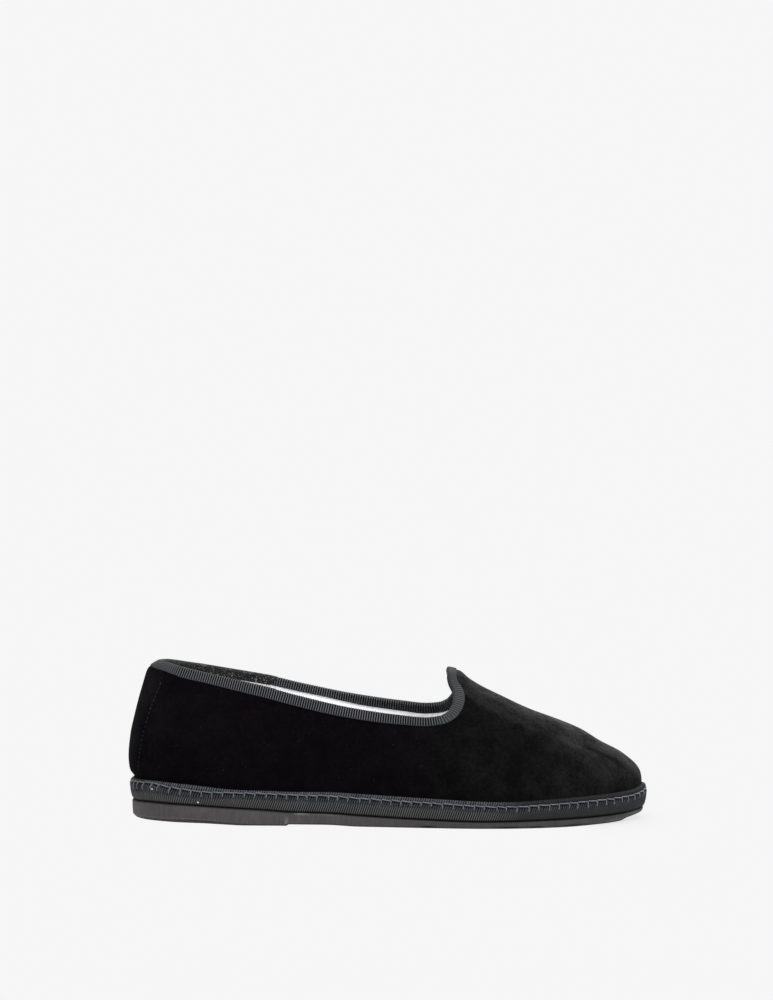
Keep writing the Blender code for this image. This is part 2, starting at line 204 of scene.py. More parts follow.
@dataclass(frozen=True)
class Last:
    """The form that the shoe is made on, and the lines where its pieces meet."""

    gap: float = 0.3
    wall: float = 1.8
    tuck_inset: float = 1.9
    seam_inset: float = 0.7
    seam_swell: float = 4.0
    tip_straightening: float = 0.8
    tip_straight_height: float = 60.0
    ribbon: float = 0.4
    lip_height: float = 0.9
    heel_share: float = 0.10
    waist_share: float = 0.42
    vamp_share: float = 0.80
    heel_pinch: float = 0.42
    pinch_share: Span = (0.0, 0.19)
    pinch_height: Span = (18.0, 56.0)
    curve_steps: int = 60
    plan: tuple[Plan, ...] = (
        Plan(2.5, 2.0, 2.0),
        Plan(8.0, -15.5, 19.5),
        Plan(22.0, -27.0, 30.3),
        Plan(45.0, -30.5, 33.0),
        Plan(78.0, -31.8, 31.2),
        Plan(115.0, -35.5, 29.8),
        Plan(145.0, -40.7, 35.2),
        Plan(176.0, -44.5, 42.6),
        Plan(200.0, -42.6, 44.5),
        Plan(224.0, -34.3, 40.0),
        Plan(242.0, -22.5, 30.6),
        Plan(252.5, -9.5, 19.5),
        Plan(257.25, 5.0, 5.0),
    )
    joint: tuple[Level, ...] = (
        Level(2.5, 9.8),
        Level(12.0, 10.7),
        Level(24.5, 10.4),
        Level(44.0, 9.3),
        Level(69.0, 7.8),
        Level(81.5, 6.9),
        Level(100.5, 6.5),
        Level(116.0, 5.6),
        Level(146.0, 4.3),
        Level(176.0, 3.5),
        Level(210.0, 3.9),
        Level(236.0, 4.4),
        Level(251.0, 5.1),
        Level(259.0, 5.9),
    )
    band: tuple[Level, ...] = (
        Level(2.5, 11.0),
        Level(12.0, 10.8),
        Level(30.0, 10.2),
        Level(54.0, 9.2),
        Level(80.0, 10.1),
        Level(121.0, 10.8),
        Level(160.0, 10.5),
        Level(191.0, 9.7),
        Level(210.0, 10.2),
        Level(236.0, 10.7),
        Level(252.0, 10.7),
        Level(257.25, 11.7),
    )
    heel_line: tuple[Level, ...] = (
        Level(3.2, 20.3),
        Level(1.8, 22.5),
        Level(0.35, 26.0),
        Level(-0.1, 31.5),
        Level(0.8, 42.0),
        Level(2.9, 52.0),
        Level(4.9, 60.0),
        Level(7.2, 68.0),
        Level(8.6, 72.5),
        Level(10.1, 75.4),
        Level(12.6, 77.7),
        Level(15.2, 79.1),
        Level(17.0, 80.0),
    )
    vamp_line: tuple[Level, ...] = (
        Level(256.6, 16.5),
        Level(256.6, 18.5),
        Level(256.1, 22.5),
        Level(254.9, 25.2),
        Level(253.0, 27.6),
        Level(250.5, 29.8),
        Level(246.0, 33.2),
        Level(236.0, 38.5),
        Level(226.0, 44.7),
        Level(216.0, 49.0),
        Level(201.0, 54.6),
        Level(186.0, 61.7),
        Level(176.0, 66.7),
        Level(170.0, 70.5),
        Level(167.5, 72.5),
        Level(165.3, 74.0),
        Level(163.0, 74.8),
        Level(159.5, 75.4),
        Level(150.0, 77.0),
    )
    girths: tuple[Girth, ...] = (
        Girth(0.0, 1.0, 1.0, 1.0),
        Girth(6.0, 1.045, 1.02, 1.005),
        Girth(14.0, 1.07, 1.04, 0.985),
        Girth(26.0, 1.04, 1.045, 0.90),
        Girth(40.0, 0.89, 1.02, 0.755),
        Girth(52.0, 0.65, 0.95, 0.62),
        Girth(62.0, 0.50, 0.85, 0.50),
    )
    collar: tuple[Rim, ...] = (
        Rim(0.0, 79.1),
        Rim(0.03, 78.9),
        Rim(0.076, 78.0),
        Rim(0.166, 75.5),
        Rim(0.325, 70.4),
        Rim(0.382, 68.3),
        Rim(0.458, 64.5),
        Rim(0.569, 59.1),
        Rim(0.676, 55.3),
        Rim(0.73, 54.0),
        Rim(0.765, 54.5),
        Rim(0.8, 56.1),
        Rim(0.84, 59.0),
        Rim(0.88, 62.5),
        Rim(0.918, 66.4),
        Rim(0.94, 70.0),
        Rim(0.949, 71.5),
        Rim(0.961, 73.3),
        Rim(0.975, 74.5),
        Rim(1.0, 75.4),
    )

    @cached_property
    def origin(self) -> Array:
        """The frame's origin in the shoe's own sizes, from where the heel stands in it."""
        rearmost = min(column(self.heel_line, "x"))
        return np.array((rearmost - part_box("upper")[0].x / MM, 0.0, 0.0))

    @cached_property
    def edge(self) -> tuple[Array, Array, Array]:
        """The sole's closed edge in plan: points, facings and the run up to each point."""
        outer = [(row.x, row.outer) for row in self.plan]
        inner = [(row.x, row.inner) for row in self.plan[-2:0:-1]]
        corners = np.array(outer + inner)
        following = np.roll(corners, -1, axis=0)
        steps = np.sqrt(np.linalg.norm(following - corners, axis=1))[:, None]
        after = (following - corners) / steps
        before, last = np.roll(after, 1, axis=0), np.roll(steps, 1, axis=0)
        lean = (before * steps + after * last) / (steps + last)
        t = np.linspace(0.0, 1.0, self.curve_steps, endpoint=False)[None, :, None]
        u = 1.0 - t
        leave, arrive = (lean * steps)[:, None], (np.roll(lean, -1, axis=0) * steps)[:, None]
        curve = u * u * (1.0 + 2.0 * t) * corners[:, None] + t * t * (3.0 - 2.0 * t) * following[:, None]
        curve = (curve + t * u * u * leave - t * t * u * arrive).reshape(-1, 2)
        heading = unit(np.roll(curve, -1, axis=0) - np.roll(curve, 1, axis=0))
        facing = np.stack((heading[:, 1], -heading[:, 0]), axis=1)
        curve = np.concatenate((curve, curve[:1]))
        facing = np.concatenate((facing, facing[:1]))
        return curve, facing, way_along(curve)

    @property
    def round(self) -> float:
        """Length of the way round the sole's edge."""
        return float(self.edge[2][-1])

    def ways(self, count: int) -> Array:
        """Evenly spaced ways along the sole's edge, all round the shoe."""
        return np.arange(count) * self.round / count

    @cached_property
    def toe_run(self) -> float:
        """The way along the sole's edge from the heel's back to the toe's tip."""
        return float(self.edge[2][(len(self.plan) - 1) * self.curve_steps])

    def outline(self, run: Array) -> Outline:
        """Reads the sole's edge.

        Args:
            run: Ways along the edge from the heel's back, over the outer side first.

        Returns:
            The edge at each of them.
        """
        curve, facing, runs = self.edge
        run = np.mod(run, self.round)
        point = np.stack([np.interp(run, runs, curve[:, k]) for k in (0, 1)], axis=-1)
        outward = unit(np.stack([np.interp(run, runs, facing[:, k]) for k in (0, 1)], axis=-1))
        back, tip = self.plan[0].x, self.plan[-1].x
        toe = (len(self.plan) - 1) * self.curve_steps
        outer = np.interp(point[..., 0], curve[: toe + 1, 0], curve[: toe + 1, 1])
        inner = np.interp(point[..., 0], curve[:toe - 1:-1, 0], curve[:toe - 1:-1, 1])
        share = np.clip((point[..., 0] - back) / (tip - back), 0.0, 1.0)
        return Outline(point, outward, share, (outer + inner) / 2.0)

    def run_at(self, x: float, side: Side) -> float:
        """The way along the sole's edge to a place along the foot, on one side."""
        curve, _, runs = self.edge
        toe = (len(self.plan) - 1) * self.curve_steps
        if side is Side.OUTER:
            return float(np.interp(x, curve[: toe + 1, 0], runs[: toe + 1]))
        return float(np.interp(x, curve[:toe - 1:-1, 0], runs[:toe - 1:-1]))

    def joint_at(self, x: Array) -> Array:
        """Height of the rubber's top at places along the foot."""
        return read(self.joint, "x", "z", x)

    def beside(self, at: Outline, out: Union[float, Array]) -> Array:
        """Edge points moved outwards in plan."""
        return at.point + at.facing * np.asarray(out)[..., None]

    def band_rise(self, x: Array) -> Array:
        """Height of the sole ribbon over the rubber's top at places along the foot."""
        return read(self.band, "x", "z", x)

    def back_at(self, z: Array) -> Array:
        """Place along the foot of the heel's back line at heights."""
        return read(self.heel_line, "z", "x", z)

    def band_top(self, at: Outline) -> Array:
        """Height of the sole ribbon's upper edge."""
        return self.joint_at(at.point[..., 0]) + self.band_rise(at.point[..., 0])

    def foot(self, at: Outline) -> Array:
        """Where the upper's outer face ends, tucked behind the sole ribbon."""
        plan = self.beside(at, -self.tuck_inset)
        return np.concatenate((plan, (self.joint_at(plan[..., 0]) + self.gap)[..., None]), axis=-1)

    def seam(self, at: Outline) -> Array:
        """Where the upper comes out from behind the sole ribbon."""
        height = self.band_top(at) - self.lip_height
        return np.concatenate((self.beside(at, -self.seam_inset), height[..., None]), axis=-1)

    def girth_at(self, share: Array, height: Array) -> Array:
        """Width of the wall over the seam, as a share of its width there.

        Args:
            share: Places along the shoe's length.
            height: Heights over the seam.

        Returns:
            The share at each place and height.
        """
        heel, waist, vamp = (read(self.girths, "height", name, height) for name in ("heel", "waist", "vamp"))
        forward = smooth_step(self.heel_share, self.waist_share, share)
        over_foot = smooth_step(self.waist_share, self.vamp_share, share)
        girth = heel * (1.0 - forward) + (waist * (1.0 - over_foot) + vamp * over_foot) * forward
        behind = 1.0 - smooth_step(*self.pinch_share, share)
        return girth * (1.0 - self.heel_pinch * behind * smooth_step(*self.pinch_height, height))

    def wall_at(self, run: Array, climb: Array) -> Array:
        """The upper's outer face, each level an outline between the heel line and the vamp line.

        Args:
            run: Ways along the sole's edge, one for each column.
            climb: Shares of the height from seam to collar, one for each row.

        Returns:
            Points by column and row.
        """
        at = self.outline(run)
        seam = self.seam(at)
        share = at.share[:, None]
        middle = at.middle[:, None]
        rim = read(self.collar, "share", "z", share)
        z = seam[:, 2:] + (rim - seam[:, 2:]) * climb[None, :]
        height = z - seam[:, 2:]
        back = self.back_at(z)
        front = read(self.vamp_line, "z", "x", z)
        straight = self.tip_straightening * smooth_step(0.0, self.tip_straight_height, height)
        level_x = back + share * (front - back)
        level_y = middle * (1.0 - straight) + (seam[:, 1:2] - middle) * self.girth_at(share, height)
        free = smooth_step(0.0, self.seam_swell, height)
        x = seam[:, 0:1] + free * (level_x - seam[:, 0:1])
        y = seam[:, 1:2] + free * (level_y - seam[:, 1:2])
        return np.stack((x, y, z), axis=2)


class Face:
    """The upper's outer face from seam to collar, by the way round the sole and the share of its run up."""

    RUN_STEP = 0.5
    SHARE_STEP = 0.01
    RIM_STEP = 0.4
    WALK_STEPS = 8
    WRONG_SIDE = 1e3

    def __init__(self, last: Last, columns: int, rows: int) -> None:
        """Samples the face evenly.

        Args:
            last: The form to sample.
            columns: How many columns go round the shoe.
            rows: How many rows go up each column.
        """
        self.last = last
        self.columns, self.rows = columns, rows
        self.runs = last.ways(columns)
        fine = last.wall_at(self.runs, np.linspace(0.0, 1.0, 2 * rows))
        length = np.cumsum(np.linalg.norm(np.diff(fine, axis=1), axis=2), axis=1)
        length = np.concatenate((np.zeros((columns, 1)), length), axis=1)
        self.rise = length[:, -1]
        share = np.linspace(0.0, 1.0, rows)
        self.point = np.empty((columns, rows, 3))
        for c in range(columns):
            for axis in range(3):
                self.point[c, :, axis] = np.interp(share * self.rise[c], length[c], fine[c, :, axis])
        around = np.roll(self.point, -1, axis=0) - np.roll(self.point, 1, axis=0)
        self.facing = unit(np.cross(around, np.gradient(self.point, axis=1)))

    def _mixed(self, table: Array, run: Array, share: Array) -> Array:
        """Reads a sampled table between its columns and rows."""
        c = np.mod(run / self.last.round, 1.0) * self.columns
        r = np.clip(share, 0.0, 1.0) * (self.rows - 1)
        left, low = np.floor(c).astype(int), np.minimum(np.floor(r).astype(int), self.rows - 2)
        a, b = (c - left)[..., None], (r - low)[..., None]
        left, right = left % self.columns, (left + 1) % self.columns
        near = table[left, low] * (1.0 - b) + table[left, low + 1] * b
        far = table[right, low] * (1.0 - b) + table[right, low + 1] * b
        return near * (1.0 - a) + far * a

    def at(self, run: Array, share: Array) -> Array:
        """Points of the face."""
        return self._mixed(self.point, run, share)

    def facing_at(self, run: Array, share: Array) -> Array:
        """The ways the face looks, at length one."""
        return unit(self._mixed(self.facing, run, share))

    def off(self, run: Array, share: Array, out: Union[float, Array]) -> Array:
        """Points moved off the face by a distance."""
        return self.at(run, share) + self.facing_at(run, share) * np.asarray(out)[..., None]

    def walk(
        self, run: Array, share: Array, heading: Array, distance: Union[float, Array]
    ) -> tuple[Array, Array]:
        """Goes straight over the face from places on it.

        Args:
            run: Where each walk starts, along the sole's edge.
            share: Where each walk starts, up the face.
            heading: The way each walk goes.
            distance: How far to go.

        Returns:
            The run and share where each walk ends.
        """
        run, share, heading = run.copy(), share.copy(), heading.copy()
        ahead, climb = self.RUN_STEP, self.SHARE_STEP
        pace = distance / self.WALK_STEPS
        for _ in range(self.WALK_STEPS):
            low = np.clip(share, 2.0 * climb, 1.0 - 2.0 * climb)
            across = (self.at(run + ahead, low) - self.at(run - ahead, low)) / (2.0 * ahead)
            up = (self.at(run, low + climb) - self.at(run, low - climb)) / (2.0 * climb)
            aa, ab, bb = (np.sum(p * q, axis=-1) for p, q in ((across, across), (across, up), (up, up)))
            ha, hb = np.sum(heading * across, axis=-1), np.sum(heading * up, axis=-1)
            area = aa * bb - ab * ab
            run = run + (ha * bb - hb * ab) / area * pace
            share = share + (hb * aa - ha * ab) / area * pace
            facing = self.facing_at(run, share)
            heading = unit(heading - facing * np.sum(heading * facing, axis=-1, keepdims=True))
        return run, share

    def rim_frame(self, run: Array) -> tuple[Array, Array, Array]:
        """The collar's edge.

        Args:
            run: Ways along the sole's edge, in order.

        Returns:
            The edge's points, the way the face looks there, and the way up off the edge.
        """
        top = np.ones_like(run)
        edge, facing = self.at(run, top), self.facing_at(run, top)
        along = unit(self.at(run + self.RIM_STEP, top) - self.at(run - self.RIM_STEP, top))
        off = unit(np.cross(facing, along))
        return edge, facing, off * np.sign(off[:, 2:])

    def rim_run(self, x: float, side: Side) -> float:
        """The way along the sole's edge to where the collar passes a place along the foot, on one side."""
        half = self.runs < self.last.toe_run
        half = half if side is Side.OUTER else ~half
        order = np.argsort(self.point[half, -1, 0])
        return float(np.interp(x, self.point[half, -1, 0][order], self.runs[half][order]))

    def nearest(self, x: float, z: float, side: Side) -> Array:
        """The face's point at a place along the foot and a height, on one side."""
        gap = np.hypot(self.point[..., 0] - x, self.point[..., 2] - z)
        wrong = np.sign(self.point[..., 1] - self.last.outline(self.runs).middle[:, None]) != side.value
        gap = gap + wrong * self.WRONG_SIDE
        return self.point[np.unravel_index(np.argmin(gap), gap.shape)]


Number = Union["Wire", float]


class Wire:
    """A number that flows between nodes; arithmetic on it adds Math nodes."""

    def __init__(self, graph: "Graph", socket: bpy.types.NodeSocket) -> None:
        """Wraps an output socket of a graph."""
        self.graph = graph
        self.socket = socket

    def _math(self, operation: str, first: Number, second: Number) -> "Wire":
        """Adds one Math node."""
        return self.graph.node("ShaderNodeMath", {"operation": operation}, {0: first, 1: second})

    def __add__(self, other: Number) -> "Wire":
        """The sum."""
        return self._math("ADD", self, other)

    __radd__ = __add__

    def __sub__(self, other: Number) -> "Wire":
        """The difference."""
        return self._math("SUBTRACT", self, other)

    def __rsub__(self, other: Number) -> "Wire":
        """The difference from a plain number."""
        return self._math("SUBTRACT", other, self)

    def __mul__(self, other: Number) -> "Wire":
        """The product."""
        return self._math("MULTIPLY", self, other)

    __rmul__ = __mul__

    def __truediv__(self, other: Number) -> "Wire":
        """The quotient."""
        return self._math("DIVIDE", self, other)

    def least(self, other: Number) -> "Wire":
        """The smaller of two."""
        return self._math("MINIMUM", self, other)

    def held(self) -> "Wire":
        """This number held between 0 and 1."""
        return self._math("MAXIMUM", self, 0.0).least(1.0)

    def sine(self) -> "Wire":
        """The sine of this angle in radians."""
        return self._math("SINE", self, 0.0)

    def step(self, low: float, high: float) -> "Wire":
        """Rises softly from 0 at low to 1 at high."""
        settings = {"interpolation_type": "SMOOTHSTEP"}
        return self.graph.node("ShaderNodeMapRange", settings, {0: self, 1: low, 2: high, 3: 0.0, 4: 1.0})


class Grain(NamedTuple):
    """A layer of soft noise: cell size in millimetres, detail, roughness, and its weight in a mottle."""

    size: float
    detail: float = 2.0
    rough: float = 0.5
    weight: float = 1.0


Input = Union[Wire, float, Sequence[float]]


class Graph:
    """The nodes of one material, ending in a Principled surface."""

    MIX_SHARE, MIX_FIRST, MIX_SECOND = 0, 6, 7
    MIX_COLOUR = 2

    def __init__(self, name: str) -> None:
        """Starts an empty material."""
        self.material = bpy.data.materials.new(name)
        self.material.use_nodes = True
        self.tree = self.material.node_tree
        self.surface = self.tree.nodes["Principled BSDF"]

    def node(
        self,
        kind: str,
        settings: dict[str, str],
        sockets: dict[Union[int, str], Input],
        output: Union[int, str] = 0,
    ) -> Wire:
        """Adds a node.

        Args:
            kind: The node's type.
            settings: Values set on the node itself.
            sockets: Values or links of its inputs.
            output: Which output to hand on.

        Returns:
            That output.
        """
        made = self.tree.nodes.new(kind)
        for name, value in settings.items():
            setattr(made, name, value)
        self.feed(made, sockets)
        return Wire(self, made.outputs[output])

    def feed(self, node: bpy.types.Node, sockets: dict[Union[int, str], Input]) -> None:
        """Sets or links a node's inputs."""
        for name, value in sockets.items():
            if isinstance(value, Wire):
                self.tree.links.new(value.socket, node.inputs[name])
            elif isinstance(value, (int, float)):
                node.inputs[name].default_value = value
            else:
                wide = len(node.inputs[name].default_value)
                node.inputs[name].default_value = (*value, 1.0)[:wide]

    def place(self) -> Wire:
        """Object coordinates, in millimetres in the frame."""
        return self.stretched(self.node("ShaderNodeTexCoord", {}, {}, "Object"), (1.0 / MM,) * 3)

    def cloth(self) -> Wire:
        """The piece's own map, in millimetres along and across the cloth."""
        return self.node("ShaderNodeUVMap", {"uv_map": CLOTH_MAP}, {})

    def mark(self, name: str) -> Wire:
        """A number that the piece's mesh carries."""
        return self.node("ShaderNodeAttribute", {"attribute_name": name}, {}, "Fac")

    def axis(self, vector: Wire, name: str) -> Wire:
        """One number of a vector."""
        return self.node("ShaderNodeSeparateXYZ", {}, {0: vector}, name)

    def stretched(self, vector: Wire, scale: Sequence[float]) -> Wire:
        """A vector multiplied axis by axis."""
        return self.node("ShaderNodeVectorMath", {"operation": "MULTIPLY"}, {0: vector, 1: scale})

    def noise(self, vector: Wire, grain: Grain) -> Wire:
        """Soft noise between 0 and 1 over a vector in millimetres."""
        sockets = {
            "Vector": vector,
            "Scale": 1.0 / grain.size,
            "Detail": grain.detail,
            "Roughness": grain.rough,
        }
        return self.node("ShaderNodeTexNoise", {}, sockets, "Fac")

    def mottle(self, noises: Sequence[Wire], grains: Sequence[Grain]) -> Wire:
        """Adds up layers of noise, each swinging about zero by its weight."""
        swings = [(noise - 0.5) * grain.weight for noise, grain in zip(noises, grains)]
        return sum(swings[1:], swings[0])

    def blend(self, share: Number, first: Input, second: Input, how: str = "MIX") -> Wire:
        """Mixes two colours."""
        settings = {"data_type": "RGBA", "blend_type": how}
        sockets = {self.MIX_SHARE: share, self.MIX_FIRST: first, self.MIX_SECOND: second}
        return self.node("ShaderNodeMix", settings, sockets, self.MIX_COLOUR)

    def bump(self, height: Wire, depth: float, strength: float) -> Wire:
        """Turns a height between 0 and 1 into a relief of a depth in millimetres."""
        sockets = {"Strength": strength, "Distance": depth * MM, "Height": height}
        return self.node("ShaderNodeBump", {}, sockets)

    def finish(self, **sockets: Input) -> bpy.types.Material:
        """Feeds the surface, by socket names with spaces as underscores, and hands over the material."""
        self.feed(self.surface, {name.replace("_", " "): value for name, value in sockets.items()})
        return self.material


def lay_grid(
    name: str,
    loops: Array,
    last: Last,
    tube: bool = True,
    ring: bool = True,
    size: Span = (1.0, 1.0),
    marks: Union[dict[str, Array], None] = None,
) -> bpy.types.Object:
    """Lays a grid over loops.

    Args:
        name: The piece's name.
        loops: Points by row and column, in the shoe's own sizes.
        last: The form, for its origin.
        tube: Whether the last loop meets the first one again.
        ring: Whether each loop closes round the shoe; otherwise the ends are filled.
        size: What the grid's map measures, along the loops and across them.
        marks: Numbers by row and column for the mesh to carry, by name.

    Returns:
        The new object.
    """
    rows, columns = loops.shape[:2]
    across = rows if tube else rows - 1
    along = columns if ring else columns - 1
    sheet = bmesh.new()
    sheet.loops.layers.uv.new(CLOTH_MAP)
    bmesh.ops.create_grid(sheet, x_segments=along, y_segments=across, size=0.5, calc_uvs=True)
    mesh = bpy.data.meshes.new(name)
    sheet.to_mesh(mesh)
    flat = np.empty(len(mesh.vertices) * 3, np.float32)
    mesh.vertices.foreach_get("co", flat)
    flat = flat.reshape(-1, 3)
    c = np.rint((flat[:, 0] + 0.5) * along).astype(int) % columns
    r = np.rint((flat[:, 1] + 0.5) * across).astype(int) % rows
    mesh.vertices.foreach_set("co", ((loops[r, c] - last.origin) * MM).astype(np.float32).ravel())
    for mark, values in (marks or {}).items():
        layer = mesh.attributes.new(mark, "FLOAT", "POINT")
        layer.data.foreach_set("value", values[r, c].astype(np.float32).ravel())
    spots = np.empty(len(mesh.loops) * 2, np.float32)
    mesh.uv_layers[CLOTH_MAP].data.foreach_get("uv", spots)
    mesh.uv_layers[CLOTH_MAP].data.foreach_set("uv", (spots.reshape(-1, 2) * size).ravel())
    sheet.clear()
    sheet.from_mesh(mesh)
    bmesh.ops.remove_doubles(sheet, verts=sheet.verts, dist=WELD)
    if not ring:
        bmesh.ops.holes_fill(sheet, edges=sheet.edges, sides=0)
        bmesh.ops.recalc_face_normals(sheet, faces=sheet.faces)
    sheet.to_mesh(mesh)
    sheet.free()
    mesh.shade_smooth()
    return add_object(name, mesh)


def add_object(name: str, mesh: bpy.types.Mesh) -> bpy.types.Object:
    """Puts a mesh in the scene, riding on the shoe."""
    made = bpy.data.objects.new(name, mesh)
    bpy.context.scene.collection.objects.link(made)
    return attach(made, BODY)


def dress(piece: bpy.types.Object, finish: bpy.types.Material, slot: str, *nodes: str) -> bpy.types.Object:
    """Gives a piece its finish and hides the CAD parts it stands for.

    Args:
        piece: The piece to dress.
        finish: Its material.
        slot: The record's material slot; not used.
        nodes: Nodes that the piece stands for.

    Returns:
        The same piece.
    """
    piece.data.materials.clear()
    piece.data.materials.append(finish)
    if nodes:
        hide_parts(*nodes)
    LOG.info("%s: %d faces", piece.name, len(piece.data.polygons))
    return piece


@dataclass
class ThreadWork:
    """Threads sewn along paths, joined in one mesh."""

    last: Last
    sides: int = 7
    end_thickness: float = 0.15
    upright_nudge: float = 1e-6
    paths: list[tuple[Array, float]] = field(default_factory=list)

    def add(self, path: Array, radius: float) -> None:
        """Takes a thread along a path of points."""
        self.paths.append((path, radius))

    def sew(self, name: str) -> bpy.types.Object:
        """Makes every thread a round tube, its ends drawn together.

        Args:
            name: The piece's name.

        Returns:
            The joined threads.
        """
        work = bmesh.new()
        work.loops.layers.uv.new(CLOTH_MAP)
        angle = np.arange(self.sides + 1) * 2.0 * math.pi / self.sides
        for path, radius in self.paths:
            heading = unit(np.gradient(path, axis=0))
            aside = np.cross(heading, (0.0, 0.0, 1.0))
            aside = unit(aside + heading[:, [1, 2, 0]] * self.upright_nudge)
            over = np.cross(aside, heading)
            thick = np.full(len(path), radius)
            thick[[0, -1]] = radius * self.end_thickness
            level, steep = (part[None, :, None] for part in (np.cos(angle), np.sin(angle)))
            turn = level * aside[:, None] + steep * over[:, None]
            tube = (path[:, None] + turn * thick[:, None, None] - self.last.origin) * MM
            new = bmesh.ops.create_grid(
                work, x_segments=self.sides, y_segments=len(path) - 1, size=0.5, calc_uvs=True
            )
            for vert in new["verts"]:
                c = round((vert.co.x + 0.5) * self.sides)
                r = round((vert.co.y + 0.5) * (len(path) - 1))
                vert.co = tube[r, c % self.sides]
        bmesh.ops.remove_doubles(work, verts=work.verts, dist=WELD)
        bmesh.ops.holes_fill(work, edges=work.edges, sides=self.sides)
        bmesh.ops.recalc_face_normals(work, faces=work.faces)
        mesh = bpy.data.meshes.new(name)
        work.to_mesh(mesh)
        work.free()
        mesh.shade_smooth()
        return add_object(name, mesh)


@dataclass(frozen=True)
class VelvetPile:
    """Black cotton velvet, lighter where its pile leans towards the light and where its mark carries painted
    light and sheen, darker where the mark carries painted shade.
    """

    shaded: Colour = (0.0030, 0.0022, 0.0030)
    dusk: Colour = (0.0030, 0.0029, 0.0030)
    # brushed is the pile's lightest tone, reached where it lies another way and where painted light and sheen
    # are strongest.
    brushed: Colour = (0.053, 0.053, 0.054)
    dusk_from: Span = (0.0, 45.0)
    layers: tuple[Grain, ...] = (
        Grain(9.0, 3.0, 0.55, 2.2),
        Grain(1.9, 2.0, 0.6, 1.7),
        Grain(0.55, 1.0, 0.5, 1.6),
    )
    mottled: float = 0.014
    mottled_fore: float = 0.022
    fluff: Grain = Grain(1.1, 1.0)
    fluff_stretch: Stretch = (1.0, 1.0, 0.8)
    fluff_from: Span = (0.69, 0.80)
    fluff_light: float = 0.12
    sheen: float = 0.05
    sheen_spread: float = 0.25
    sheen_tint: Colour = (0.55, 0.56, 0.58)
    tuft_depth: float = 0.25
    tuft_strength: float = 0.6

    def material(self) -> bpy.types.Material:
        """The finish as nodes."""
        graph = Graph("velvet_pile")
        place = graph.place()
        # The mark lightens the pile where it lies another way, and also carries painted light on the vamp,
        # painted sheen along the ridge and painted shade in the creases.
        lay_and_painted_light = graph.mark("lay_and_painted_light")
        fore = graph.axis(place, "X").step(*self.dusk_from)
        noises = [graph.noise(place, layer) for layer in self.layers]
        mottle = graph.mottle(noises, self.layers)
        fluff = graph.noise(graph.stretched(place, self.fluff_stretch), self.fluff).step(*self.fluff_from)
        cloudy = mottle * (self.mottled + self.mottled_fore * fore)
        share = (lay_and_painted_light * (1.0 + mottle) + cloudy + fluff * self.fluff_light).held()
        return graph.finish(
            Base_Color=graph.blend(share, graph.blend(fore, self.shaded, self.dusk), self.brushed),
            Roughness=0.95,
            Specular_IOR_Level=0.0,
            Sheen_Weight=self.sheen,
            Sheen_Roughness=self.sheen_spread,
            Sheen_Tint=self.sheen_tint,
            Normal=graph.bump(noises[-1], self.tuft_depth, self.tuft_strength),
        )


@dataclass(frozen=True)
class RibbedRibbon:
    """Black ribbed ribbon with a fine weave: painted light on the ribs, painted shade between them."""

    name: str
    # crest is painted light on the ribs and groove is painted shade between them; the rib mark blends the
    # two.
    crest: Colour
    groove: Colour = (0.0025, 0.0025, 0.0030)
    slate: Colour = (0.080, 0.0875, 0.0995)
    yarn: Grain = Grain(0.5, 1.0)
    yarn_stretch: Stretch = (1.0, 0.22, 1.0)
    yarn_depth: float = 0.06
    yarn_strength: float = 0.5
    open_yarn: Grain = Grain(0.9, 1.0)
    open_stretch: Stretch = (1.0, 0.30, 1.0)
    strand: float = 1.2
    strand_wander: float = 4.0
    strand_from: Span = (-0.55, 0.45)
    strand_gap: float = 0.9
    wear: Grain = Grain(8.33)
    uneven: float = 0.2

    def material(self) -> bpy.types.Material:
        """The finish as nodes."""
        graph = Graph(self.name)
        cloth = graph.cloth()
        rib = graph.mark("rib")
        puffed = graph.mark("puffed")
        weave = graph.noise(graph.stretched(cloth, self.yarn_stretch), self.yarn)
        open_weave = graph.noise(graph.stretched(cloth, self.open_stretch), self.open_yarn)
        worn = graph.noise(cloth, self.wear)
        turns = graph.axis(cloth, "X") * (2.0 * math.pi / self.strand)
        strand = (turns + open_weave * self.strand_wander).sine()
        gaps = self.strand_gap * puffed * (1.0 - strand.step(*self.strand_from))
        woven, faded = (1.0 - self.uneven + 2.0 * self.uneven * noise for noise in (weave, worn))
        share = (rib * (1.0 - gaps) * woven * faded).least(1.0)
        return graph.finish(
            Base_Color=graph.blend(share, self.groove, graph.blend(puffed, self.crest, self.slate)),
            Roughness=0.7,
            Specular_IOR_Level=0.05,
            Sheen_Weight=0.02,
            Sheen_Roughness=0.4,
            Normal=graph.bump(weave, self.yarn_depth, self.yarn_strength),
        )


@dataclass(frozen=True)
class CottonThread:
    """Twisted sewing thread."""

    name: str
    colour: Colour
    fuzz: Grain = Grain(0.5)
    fuzz_from: Span = (0.3, 0.7)
    fuzz_depth: float = 0.08
    fuzz_strength: float = 0.6
    fade: Grain = Grain(5.0)
    fade_from: Span = (0.35, 0.6)
    faded: float = 0.55
    shade: float = 0.45

    def material(self) -> bpy.types.Material:
        """The finish as nodes."""
        graph = Graph(self.name)
        place = graph.place()
        fuzz = graph.noise(place, self.fuzz)
        faded = graph.noise(place, self.fade).step(*self.fade_from)
        share = fuzz.step(*self.fuzz_from) * (self.faded + (1.0 - self.faded) * faded)
        dark = tuple(self.shade * part for part in self.colour)
        return graph.finish(
            Base_Color=graph.blend(share, dark, self.colour),
            Roughness=0.7,
            Specular_IOR_Level=0.2,
            Sheen_Weight=0.2,
            Normal=graph.bump(fuzz, self.fuzz_depth, self.fuzz_strength),
        )


